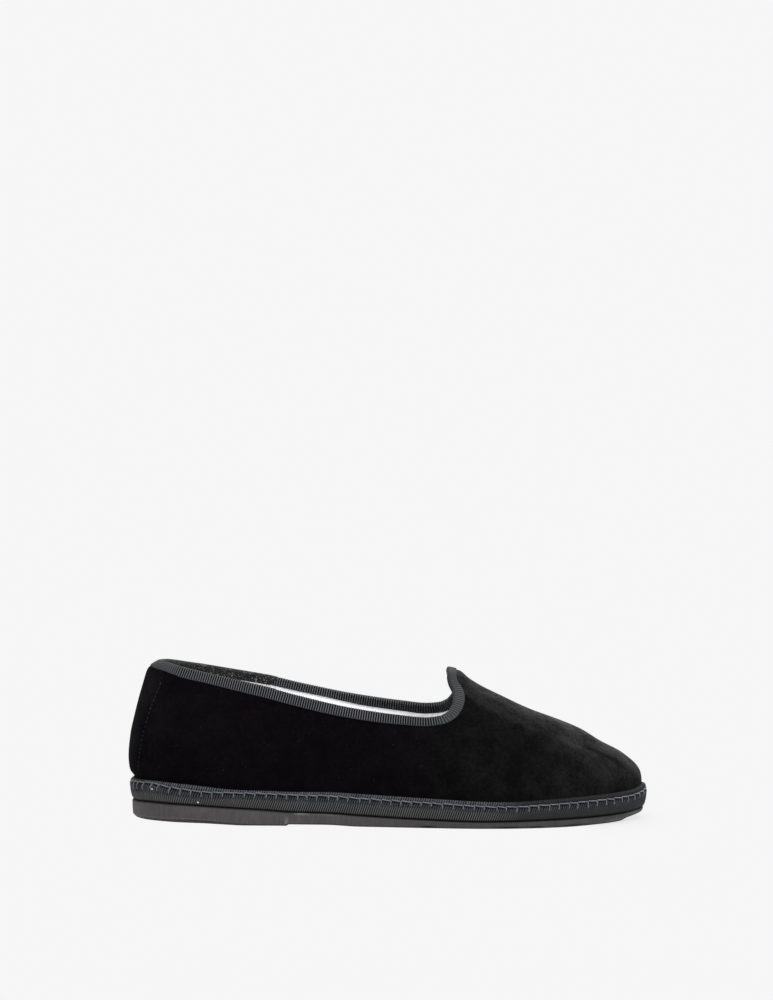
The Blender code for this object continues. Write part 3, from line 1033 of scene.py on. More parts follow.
@dataclass(frozen=True)
class MouldedRubber:
    """Matt dark rubber, browner at the heel, with rubbed edges, a painted reflection low on the toe, and
    painted shade under it, along its joint and as contact shadow.
    """

    heel: Colour = (0.062, 0.056, 0.059)
    forefoot: Colour = (0.045, 0.0435, 0.0445)
    rub: Colour = (0.19, 0.185, 0.18)
    heel_to_forefoot: Span = (-62.0, 60.0)
    cloud: Grain = Grain(9.0, 3.0, 0.5, 0.7)
    speck: Grain = Grain(0.6, 2.0, 0.6, 0.7)
    streak: Grain = Grain(1.1, 2.0, 0.5, 0.8)
    streak_stretch: Stretch = (1.0, 1.0, 0.18)
    dull: Colour = (0.62, 0.62, 0.62)
    bright: Colour = (1.38, 1.38, 1.38)
    shadow: Colour = (0.05, 0.05, 0.05)
    rub_from: Span = (0.25, 0.6)
    roughness: float = 0.72
    polish: float = 0.12
    speck_depth: float = 0.10
    speck_strength: float = 0.5

    def material(self) -> bpy.types.Material:
        """The finish as nodes."""
        graph = Graph("moulded_rubber")
        place = graph.place()
        along = graph.axis(place, "X").step(*self.heel_to_forefoot)
        cloud = graph.noise(place, self.cloud)
        speck = graph.noise(place, self.speck)
        streak = graph.noise(graph.stretched(place, self.streak_stretch), self.streak)
        mottle = graph.mottle((cloud, speck, streak), (self.cloud, self.speck, self.streak))
        tone = graph.blend((0.5 + mottle).held(), self.dull, self.bright)
        lit = graph.blend(1.0, graph.blend(along, self.heel, self.forefoot), tone, "MULTIPLY")
        # The under mark is painted shade: on the underside, along the joint with the ribbon and as contact
        # shadow under the forefoot.
        shaded = graph.blend(graph.mark("under"), lit, graph.blend(1.0, lit, self.shadow, "MULTIPLY"))
        # The rubbed mark lightens worn scuffs and, low on the toe, a painted reflection.
        rubbed = graph.mark("rubbed") * speck.step(*self.rub_from)
        return graph.finish(
            Base_Color=graph.blend(rubbed.least(1.0), shaded, self.rub),
            Roughness=self.roughness - self.polish * cloud,
            Specular_IOR_Level=0.2,
            Normal=graph.bump(speck, self.speck_depth, self.speck_strength),
        )


@dataclass(frozen=True)
class WovenCotton:
    """Plain woven cotton cloth."""

    name: str
    colour: Colour
    shade: Colour
    painted_glow: float = 0.0
    yarn: float = 0.55
    yarn_depth: float = 0.10
    yarn_strength: float = 0.6
    cloud: Grain = Grain(11.0)
    cloudy: float = 0.65

    def material(self) -> bpy.types.Material:
        """The finish as nodes."""
        graph = Graph(self.name)
        cloth = graph.cloth()
        turn = 2.0 * math.pi / self.yarn
        warp, weft = ((graph.axis(cloth, axis) * turn).sine() for axis in "XY")
        weave = 0.5 + 0.5 * (warp * weft)
        cloud = graph.noise(graph.place(), self.cloud)
        share = (self.cloudy * cloud + (1.0 - self.cloudy) * weave).least(1.0)
        return graph.finish(
            Base_Color=graph.blend(share, self.shade, self.colour),
            Roughness=0.9,
            Specular_IOR_Level=0.1,
            # Painted glow: the cloth gives off light of its own, lifting the lining deep inside the shoe.
            Emission_Color=self.colour,
            Emission_Strength=self.painted_glow,
            Normal=graph.bump(weave, self.yarn_depth, self.yarn_strength),
        )


@dataclass(frozen=True)
class SpeckledGrip:
    """Dark heel tape with a pebbled, light-flecked face."""

    dark: Colour = (0.013, 0.013, 0.0135)
    fleck: Colour = (0.27, 0.272, 0.278)
    fore: Span = (-108.0, -68.0)
    rear_light: float = 0.3
    pebble: float = 1.2
    pebble_edge: Span = (0.10, 0.42)
    pebble_depth: float = 0.2
    pebble_strength: float = 0.7
    cloud: Grain = Grain(2.5)
    cloud_from: Span = (0.35, 0.65)
    cloud_light: float = 0.25

    def material(self) -> bpy.types.Material:
        """The finish as nodes."""
        graph = Graph("speckled_grip")
        place = graph.place()
        sockets = {"Vector": place, "Scale": 1.0 / self.pebble}
        cells = graph.node("ShaderNodeTexVoronoi", {"feature": "F1"}, sockets, "Distance")
        fleck = 1.0 - cells.step(*self.pebble_edge)
        cloud = graph.noise(place, self.cloud).step(*self.cloud_from)
        fore = graph.axis(place, "X").step(*self.fore)
        patchy = self.cloud_light + (1.0 - self.cloud_light) * cloud
        share = fleck * patchy * (self.rear_light + (1.0 - self.rear_light) * fore)
        return graph.finish(
            Base_Color=graph.blend(share, self.dark, self.fleck),
            Roughness=0.85,
            Specular_IOR_Level=0.15,
            Normal=graph.bump(fleck, self.pebble_depth, self.pebble_strength),
        )


class RidgeSheen(NamedTuple):
    """How much painted sheen lightens the pile at one drop under the upper's ridge."""

    drop: float
    lay_and_painted_light: float


class NapRise(NamedTuple):
    """How much lighter the pile grows along the foot, from one place to another, partly by its lay and partly
    as painted light where the vamp slopes up to the light.
    """

    start: float
    end: float
    lay_and_painted_light: float


class Fold(NamedTuple):
    """A place on a crease, along the foot and up."""

    x: float
    z: float


@dataclass(frozen=True)
class Crease:
    """A soft trough pressed in the upper, with painted shade darkening its pile along it."""

    side: Side
    folds: tuple[Fold, ...]
    width: float
    depth: float
    # dark is how much painted shade darkens the pile along the trough.
    dark: float
    points: int = 24
    end: float = 0.04
    fade: float = 0.7

    def press(self, face: Face, point: Array) -> Array:
        """How strongly the crease shows.

        Args:
            face: The upper's face.
            point: Points on it.

        Returns:
            One along the trough's middle, falling softly to zero beside it and at its ends.
        """
        spots = np.array([face.nearest(fold.x, fold.z, self.side) for fold in self.folds])
        knots = np.linspace(0.0, 1.0, len(spots))
        along = np.linspace(0.0, 1.0, self.points)
        path = np.stack([monotone(knots, spots[:, axis], along) for axis in range(3)], axis=1)
        gaps = np.linalg.norm(point[..., None, :] - path, axis=-1)
        nearest = gaps.argmin(axis=-1)
        gap = np.take_along_axis(gaps, nearest[..., None], axis=-1)[..., 0]
        inner = np.clip(along[nearest], self.end, 1.0 - self.end)
        return np.sin(math.pi * inner) ** self.fade * bell(gap, self.width)


@dataclass(frozen=True)
class NapPatch:
    """A place where the pile was brushed another way, lighter or darker than around it."""

    side: Side
    x: float
    z: float
    length: float
    height: float
    lift: float

    def lay_and_painted_light(self, face: Face, point: Array) -> Array:
        """How much the patch lifts the lay of the pile at points of the upper."""
        middle = face.nearest(self.x, self.z, self.side)
        along = (point[..., 0] - middle[0]) / self.length
        up = np.linalg.norm(point[..., 1:] - middle[1:], axis=-1) / self.height
        return self.lift * np.exp(-(along**2) - up**2)


@dataclass
class Upper:
    """The velvet upper with its lining, creases, heel stay and heel tape."""

    last: Last
    face: Face
    rows: int = 92
    pile: float = 0.9
    back_stride: int = 12
    velvet_map: float = 70.0
    velvet_finish: VelvetPile = VelvetPile()
    lining_columns: int = 480
    lining_rows: int = 40
    lining_stride: int = 6
    lining_gap: float = 0.1
    lining_map: float = 110.0
    # The lining has a painted glow.
    lining_finish: WovenCotton = WovenCotton(
        "cotton_lining", (0.94, 0.94, 0.96), (0.88, 0.88, 0.90), painted_glow=0.08
    )
    stay_lift: float = 0.12
    stay_groove: float = 0.18
    stay_edge: float = 0.55
    stay_lay: float = 0.012
    stay_back_lay: float = 0.07
    stay_back: float = 8.0
    stay_reach: float = 45.0
    stay_columns: int = 120
    stay_share: Span = (0.05, 0.93)
    stay_rows: int = 160
    stay_stitch: float = 2.3
    stay_starts: Span = (0.0, 0.3)
    stay_ends: Span = (0.6, 0.9)
    stay_points: int = 6
    stay_sides: int = 6
    stay_bow: float = 0.12
    stay_thread: float = 0.15
    stay_seed: int = 3
    stay_sunk: Span = (0.04, 0.32)
    stay_finish: CottonThread = CottonThread("stay_thread", (0.0075, 0.0075, 0.008))
    pucker_pitch: float = 5.0
    pucker_depth: float = 0.16
    pucker_reach: float = 5.0
    puff: float = 0.35
    puff_from: float = 4.6
    puff_rise: Span = (0.0, 1.0)
    puff_fall: Span = (1.5, 7.0)
    tape_finish: SpeckledGrip = SpeckledGrip()
    tape_columns: int = 240
    tape_rows: int = 12
    tape_crest_rows: int = 8
    tape_crest_from: float = 0.42
    tape_until: float = 73.5
    tape_height: float = 3.9
    tape_slant: float = 3.5
    tape_lift: float = 0.03
    tape_thickness: float = 0.15
    stay_depth: tuple[Level, ...] = (
        Level(4.3, 18.0),
        Level(4.9, 28.3),
        Level(6.1, 38.0),
        Level(6.6, 50.4),
        Level(8.1, 64.3),
        Level(9.5, 78.0),
    )
    ridge_sheen_from: Span = (150.0, 168.0)
    side_tilt: float = 0.114
    flat_lay: float = 0.012
    # Lightening along the foot, partly the pile's lay and partly painted light on the vamp.
    rises: tuple[NapRise, ...] = (
        NapRise(112.0, 180.0, 0.013),
        NapRise(190.0, 228.0, 0.07),
        NapRise(26.0, 10.0, 0.022),
    )
    # Painted sheen along the ridge from toe to instep, where the top of the upper faces the light.
    ridge: tuple[RidgeSheen, ...] = (
        RidgeSheen(0.0, 0.70),
        RidgeSheen(1.5, 0.43),
        RidgeSheen(3.0, 0.29),
        RidgeSheen(4.2, 0.18),
        RidgeSheen(6.5, 0.115),
        RidgeSheen(9.5, 0.11),
        RidgeSheen(11.0, 0.045),
        RidgeSheen(13.0, 0.022),
        RidgeSheen(17.0, 0.005),
        RidgeSheen(20.0, 0.0),
    )
    creases: tuple[Crease, ...] = (
        Crease(
            Side.OUTER, (Fold(223.0, 40.2), Fold(234.0, 35.6), Fold(243.0, 30.8), Fold(247.5, 27.0)),
            width=2.2, depth=0.45, dark=0.15,
        ),
        Crease(
            Side.OUTER, (Fold(196.0, 45.0), Fold(204.0, 38.0), Fold(209.0, 28.0)),
            width=5.0, depth=0.30, dark=0.03,
        ),
        Crease(
            Side.INNER, (Fold(223.0, 38.5), Fold(234.0, 34.5), Fold(243.5, 30.0), Fold(248.5, 26.0)),
            width=2.2, depth=0.45, dark=0.15,
        ),
        Crease(
            Side.INNER, (Fold(193.0, 46.0), Fold(200.0, 38.0), Fold(205.0, 27.0)),
            width=5.0, depth=0.30, dark=0.03,
        ),
        Crease(
            Side.OUTER, (Fold(96.0, 52.0), Fold(106.0, 43.0), Fold(112.0, 32.0)),
            width=6.0, depth=0.25, dark=0.0,
        ),
        Crease(
            Side.INNER, (Fold(92.0, 52.0), Fold(101.0, 42.0), Fold(107.0, 31.0)),
            width=6.0, depth=0.25, dark=0.0,
        ),
    )
    patches: tuple[NapPatch, ...] = (
        NapPatch(Side.OUTER, 222.0, 42.0, 7.0, 7.5, 0.085),
        NapPatch(Side.OUTER, 194.5, 34.0, 4.5, 7.0, -0.025),
        NapPatch(Side.OUTER, 209.0, 44.3, 4.0, 4.5, -0.05),
        NapPatch(Side.OUTER, 216.0, 33.6, 5.5, 4.0, -0.04),
        NapPatch(Side.OUTER, 173.0, 28.5, 6.0, 5.0, 0.03),
        NapPatch(Side.OUTER, 185.0, 37.0, 4.0, 4.0, 0.02),
        NapPatch(Side.OUTER, 186.0, 20.3, 4.0, 3.0, 0.065),
        NapPatch(Side.OUTER, 192.0, 26.5, 4.0, 2.6, -0.03),
        NapPatch(Side.OUTER, 220.0, 19.5, 4.0, 2.6, 0.04),
        NapPatch(Side.OUTER, 236.0, 25.9, 6.0, 4.5, 0.06),
        NapPatch(Side.OUTER, 226.0, 34.0, 3.5, 7.0, 0.04),
        NapPatch(Side.INNER, 214.0, 40.0, 8.0, 8.0, 0.10),
        NapPatch(Side.INNER, 200.0, 29.0, 8.0, 6.0, -0.07),
        NapPatch(Side.INNER, 180.0, 33.0, 6.0, 6.0, 0.03),
    )

    def relief(self, run: Array, share: Array, point: Array) -> Array:
        """How far the velvet stands off the plain form.

        Args:
            run: Ways along the sole's edge.
            share: Shares of the run up.
            point: The form's points there.

        Returns:
            The height at each point.
        """
        move = np.zeros(point.shape[:-1])
        for crease in self.creases:
            move = move - crease.depth * crease.press(self.face, point)
        rise = np.interp(run, self.face.runs, self.face.rise, period=self.last.round)
        near = np.clip(share * rise / self.pucker_reach, 0.0, 1.0)
        pucker = 0.5 - 0.5 * np.cos(2.0 * math.pi * run / self.pucker_pitch)
        move = move - self.pucker_depth * pucker * (1.0 - near) ** 2
        below = (1.0 - share) * rise - self.puff_from
        beside_ribbon = smooth_step(*self.puff_rise, below) * (1.0 - smooth_step(*self.puff_fall, below))
        move = move + self.puff * beside_ribbon
        groove = bell(self.stay_away(point), self.stay_edge)
        return move + self.stay_lift * self.on_stay(point) - self.stay_groove * groove

    def stay_away(self, point: Array) -> Array:
        """How far points lie in front of the edge of the strip down the heel's back."""
        z = point[..., 2]
        deep = read(self.stay_depth, "z", "x", z)
        return point[..., 0] - self.last.back_at(z) - deep

    def on_stay(self, point: Array) -> Array:
        """One on the strip down the heel's back, zero off it."""
        return 1.0 - smooth_step(-self.stay_edge, self.stay_edge, self.stay_away(point))

    def under_ridge(self, point: Array) -> Array:
        """How far points lie under the ridge from toe to instep, as seen from the side."""
        share = np.linspace(0.0, 1.0, self.rows)
        ridge = self.face.at(np.full(self.rows, self.last.toe_run), share)
        ridge = ridge[np.argsort(ridge[:, 0])]
        y, z = (np.interp(point[..., 0], ridge[:, 0], ridge[:, axis]) for axis in (1, 2))
        return z - point[..., 2] + self.side_tilt * np.abs(point[..., 1] - y)

    def lay_and_painted_light(self, point: Array) -> Array:
        """How light the pile is made, from zero to one, at points of the upper: its lay, with painted light
        on the vamp, painted sheen along the ridge and painted shade in the creases.
        """
        x = point[..., 0]
        lay_and_painted_light = np.full(x.shape, self.flat_lay)
        for rise in self.rises:
            lay_and_painted_light = lay_and_painted_light + rise.lay_and_painted_light * smooth_step(rise.start, rise.end, x)
        # Painted sheen along the ridge.
        ridge = read(self.ridge, "drop", "lay_and_painted_light", self.under_ridge(point))
        lay_and_painted_light = lay_and_painted_light + ridge * smooth_step(*self.ridge_sheen_from, x)
        for patch in self.patches:
            lay_and_painted_light = lay_and_painted_light + patch.lay_and_painted_light(self.face, point)
        # Painted shade along the creases.
        for crease in self.creases:
            lay_and_painted_light = lay_and_painted_light - crease.dark * crease.press(self.face, point)
        strip = self.stay_lay + self.stay_back_lay * smooth_step(0.0, -self.stay_back, self.stay_away(point))
        return np.clip(lay_and_painted_light + self.on_stay(point) * strip, 0.0, 1.0)

    def velvet(self) -> bpy.types.Object:
        """The velvet from its tuck behind the sole ribbon up to the collar, and its back."""
        run = self.face.runs
        at = self.last.outline(run)
        foot, seam = self.last.foot(at), self.last.seam(at)
        share = np.linspace(0.0, 1.0, self.rows)
        runs, shares = np.meshgrid(run, share)
        point = self.face.at(runs, shares)
        facing = self.face.facing_at(runs, shares)
        front = point + facing * self.relief(runs, shares, point)[..., None]
        back = point - facing * self.pile
        thin = slice(None, None, -self.back_stride)
        behind = foot + (back[0] - seam)
        loops = (foot[None], ((foot + seam) / 2.0)[None], front, back[thin], back[:1], behind[None])
        lay_and_painted_light = self.lay_and_painted_light(point)
        lays = (lay_and_painted_light[:1], lay_and_painted_light[:1], lay_and_painted_light, lay_and_painted_light[thin], lay_and_painted_light[:1], lay_and_painted_light[:1])
        size = (self.last.round, self.velvet_map)
        marks = {"lay_and_painted_light": np.concatenate(lays)}
        piece = lay_grid("velvet_upper", np.concatenate(loops), self.last, size=size, marks=marks)
        return dress(piece, self.velvet_finish.material(), "upper", "upper")

    def lining(self) -> bpy.types.Object:
        """White cotton inside the velvet."""
        run = self.last.ways(self.lining_columns)
        at = self.last.outline(run)
        foot, seam = self.last.foot(at), self.last.seam(at)
        share = np.linspace(0.0, 1.0, self.lining_rows)
        runs, shares = np.meshgrid(run, share)
        inside = self.face.off(runs, shares, -self.last.wall)
        outside = self.face.off(runs, shares, -self.pile - self.lining_gap)
        low_in, low_out = foot + (inside[0] - seam), foot + (outside[0] - seam)
        outer = (low_out[None], outside[:: self.lining_stride], outside[-1:])
        loops = np.concatenate((*outer, inside[::-1], low_in[None]))
        piece = lay_grid("cotton_lining", loops, self.last, size=(self.last.round, self.lining_map))
        return dress(piece, self.lining_finish.material(), "insole")

    def stay_stitches(self) -> bpy.types.Object:
        """Small stitches down both edges of the heel stay."""
        work = ThreadWork(self.last, sides=self.stay_sides)
        chance = np.random.default_rng(self.stay_seed)
        span = np.linspace(0.0, self.stay_reach, self.stay_columns)
        share = np.linspace(*self.stay_share, self.stay_rows)
        bow = self.stay_bow * np.sin(np.linspace(0.0, math.pi, self.stay_points))
        for sign in (1.0, -1.0):
            grid, up = np.meshgrid(sign * span, share)
            away = self.stay_away(self.face.at(grid, up))
            run = np.array([np.interp(0.0, row, sign * span) for row in away])
            point = self.face.at(run, share)
            length = way_along(point)
            for start in np.arange(0.0, length[-1] - self.stay_stitch, self.stay_stitch):
                ends = chance.uniform(*self.stay_starts), chance.uniform(*self.stay_ends)
                spot = start + self.stay_stitch * np.linspace(*ends, self.stay_points)
                lift = bow - chance.uniform(*self.stay_sunk)
                path = self.face.off(np.interp(spot, length, run), np.interp(spot, length, share), lift)
                work.add(path, self.stay_thread)
        piece = work.sew("heel_stay_stitches")
        return dress(piece, self.stay_finish.material(), "upper")

    def heel_tape(self) -> bpy.types.Object:
        """Dark tape over the ribbon inside the heel, from its crest down, its ends cut on a slant."""
        end_out = self.face.rim_run(self.tape_until, Side.OUTER)
        end_in = self.face.rim_run(self.tape_until, Side.INNER) - self.last.round
        middle, half = (end_in + end_out) / 2.0, (end_out - end_in) / 2.0
        far = self.last.gap + self.last.ribbon + self.tape_lift
        thick = self.last.wall / 2.0 + far
        spots = np.linspace(end_in, end_out, self.tape_columns)
        top = np.ones_like(spots)
        edge, facing, off = self.face.rim_frame(spots)

        def side(lift: float) -> Array:
            """One face of the tape, over the crest and down the inside."""
            rows = []
            for angle in np.linspace(self.tape_crest_from * math.pi, math.pi, self.tape_crest_rows)[:-1]:
                across = far - thick + (thick + lift) * math.cos(angle)
                rows.append(edge + facing * across + off * ((far + lift) * math.sin(angle)))
            for down in np.linspace(0.0, self.tape_height, self.tape_rows):
                lean = 1.0 - (self.tape_slant / half) * (down / self.tape_height)
                run, share = self.face.walk(middle + (spots - middle) * lean, top, -off, down)
                rows.append(self.face.off(run, share, -self.last.wall - far - lift))
            return np.array(rows)

        sheet = np.concatenate((side(self.tape_thickness), side(0.0)[::-1]))
        piece = lay_grid("heel_tape", sheet, self.last, ring=False)
        return dress(piece, self.tape_finish.material(), "collar_binding")

    def build(self) -> None:
        """Makes every piece of the upper."""
        self.velvet()
        self.lining()
        self.stay_stitches()
        self.heel_tape()


def rib_wave(count: int, columns: int, edge: Span) -> Array:
    """Zero in a ribbon's grooves and one on its ribs.

    Args:
        count: How many evenly spaced columns to give.
        columns: How many of them make one rib and its groove.
        edge: Where a rib starts to rise and where it is full, as shares of a plain wave.

    Returns:
        The wave at each column.
    """
    turn = 2.0 * math.pi * np.arange(count) / columns
    return smooth_step(*edge, 0.5 + 0.5 * np.cos(turn))


@dataclass
class Collar:
    """The ribbed ribbon folded over the collar's edge."""

    last: Last
    face: Face
    finish: RibbedRibbon = RibbedRibbon("collar_ribbon", crest=(0.105, 0.108, 0.116))
    rib_pitch: float = 1.22
    rib_columns: int = 8
    rib_height: float = 0.26
    rib_edge: Span = (0.55, 0.8)
    leg: float = 4.8
    inner_leg: float = 3.7
    inner_growth: float = 0.22
    grown_from: Span = (94.0, 122.0)
    leg_rows: int = 8
    crest_rows: int = 9
    selvedge: float = 0.35
    selvedge_ribs: float = 0.25
    tone: float = 0.5
    plain_heel: Span = (20.0, 30.0)
    plain_tongue: float = 0.8
    plain_dark: float = 0.08
    plain_flat: float = 0.75
    calm_throat: Span = (110.0, 150.0)
    calm_flat: float = 0.4
    calm_dark: float = 0.5
    throat: Span = (150.0, 160.0)
    throat_flat: float = 0.25
    throat_light: float = 0.18
    inner_dark: float = 0.38
    tongue_from: float = 130.0
    tongue: Span = (64.0, 74.0)
    tongue_taper: float = 0.25

    def edge_runs(self) -> tuple[Array, float]:
        """Places spaced evenly along the collar's edge, some to each rib.

        Returns:
            The ways along the sole's edge, and the collar's length.
        """
        rim = np.concatenate((self.face.point[:, -1], self.face.point[:1, -1]))
        length = way_along(rim)
        ribs = round(length[-1] / self.rib_pitch)
        spots = np.arange(ribs * self.rib_columns) * length[-1] / (ribs * self.rib_columns)
        runs = np.concatenate((self.face.runs, (self.last.round,)))
        return np.interp(spots, length, runs), float(length[-1])

    def near_tip(self, edge: Array) -> Array:
        """How near points of the collar's edge are to the tongue's tip, from zero to one."""
        return smooth_step(*self.tongue, edge[:, 2]) * (edge[:, 0] > self.tongue_from)

    def rib_tones(self, edge: Array) -> tuple[Array, Array]:
        """How the ribs show along the collar: plain at the heel and the tip, calmer at the throat.

        Args:
            edge: Points along the collar's edge.

        Returns:
            The ribs' swing about their middle, which also paints light on the crests and shade in the
            grooves, and the ribbon's middle tone.
        """
        x = edge[:, 0]
        plain = np.maximum(1.0 - smooth_step(*self.plain_heel, x), self.plain_tongue * self.near_tip(edge))
        throat = smooth_step(*self.throat, x)
        calm = self.calm_flat * smooth_step(*self.calm_throat, x) + self.throat_flat * throat
        wave = rib_wave(len(x), self.rib_columns, self.rib_edge)
        # The swing paints light on the ribs' crests and shade in their grooves.
        swing = (wave - 0.5) * (1.0 - self.plain_flat * plain) * (1.0 - calm)
        tone = self.tone - self.plain_dark * plain - self.calm_dark * calm + self.throat_light * throat
        return swing, tone

    def build(self) -> None:
        """Makes the ribbon."""
        run, length = self.edge_runs()
        top = np.ones_like(run)
        edge, facing, off = self.face.rim_frame(run)
        swing, tone = self.rib_tones(edge)
        grown = smooth_step(*self.grown_from, edge[:, 0])
        inside = 1.0 - self.inner_dark * grown
        far = self.last.gap + self.last.ribbon
        loops, marks = [], []

        def ribbed(points: Array, outward: Array, fade: float, light: Union[float, Array] = 1.0) -> None:
            """Adds a loop whose ribs stand out by a share."""
            loops.append(points + outward * (swing * self.rib_height * fade)[:, None])
            # The rib mark: painted light on the crests, painted shade in the grooves.
            marks.append((tone + swing * fade) * light)

        def leg(reach: float, stretch: Array) -> tuple[list[tuple[Array, Array]], Array]:
            """Places on the face down one leg, from its free edge up, and how far the ribs stand there."""
            downs = np.linspace(reach, 0.0, self.leg_rows)
            spots = [self.face.walk(run, top, -off, down * stretch) for down in downs]
            return spots, np.clip((reach - downs) / self.selvedge, self.selvedge_ribs, 1.0)

        taper = 1.0 - self.tongue_taper * self.near_tip(edge)
        outer, outer_fades = leg(self.leg, taper)
        inner, inner_fades = leg(self.inner_leg, taper * (1.0 + self.inner_growth * grown))
        for (r, s), fade in zip(outer, outer_fades):
            ribbed(self.face.off(r, s, far), self.face.facing_at(r, s), fade)
        half = (self.last.wall + 2.0 * far) / 2.0
        for angle in np.linspace(0.0, math.pi, self.crest_rows)[1:-1]:
            outward = facing * math.cos(angle) + off * math.sin(angle)
            spot = edge + facing * (far - half + half * math.cos(angle)) + off * (far * math.sin(angle))
            ribbed(spot, outward, 1.0)
        for (r, s), fade in zip(reversed(inner), reversed(inner_fades)):
            ribbed(self.face.off(r, s, -self.last.wall - far), -self.face.facing_at(r, s), fade, inside)
        for r, s in (inner[0], inner[self.leg_rows // 2]):
            loops.append(self.face.off(r, s, -self.last.wall - self.last.gap))
        loops.append(edge + facing * (-self.last.wall - self.last.gap) + off * self.last.gap)
        loops.append(edge + facing * self.last.gap + off * self.last.gap)
        for r, s in (outer[self.leg_rows // 2], outer[0]):
            loops.append(self.face.off(r, s, self.last.gap))
        marks += [np.zeros(len(run))] * (len(loops) - len(marks))
        size = (length, self.leg + self.inner_leg + math.pi * half)
        carried = {"rib": np.array(marks)}
        piece = lay_grid("collar_ribbon", np.array(loops), self.last, size=size, marks=carried)
        dress(piece, self.finish.material(), "collar_binding", "collar_binding")


class StitchRow(NamedTuple):
    """How the blanket stitch lies at one place along the foot."""

    x: float
    drop: float
    leg: float
    lean: float
    bow: float
    sunk: float


class Rub(NamedTuple):
    """A place along the foot where the ribbon's ribs are worn flat."""

    x: float
    span: float
    share: float


class Tone(NamedTuple):
    """How light the ribbon is: a level, and how much a rib's crest or the lip over the stitch adds to it."""

    level: float
    more: float

    def at(self, share: Array) -> Array:
        """The tone at shares of the way up to the crest or the lip."""
        return self.level + self.more * share


class Speck(NamedTuple):
    """A bit of lint: where it clings along the foot and up the sole ribbon, and its length."""

    x: float
    up: float
    length: float


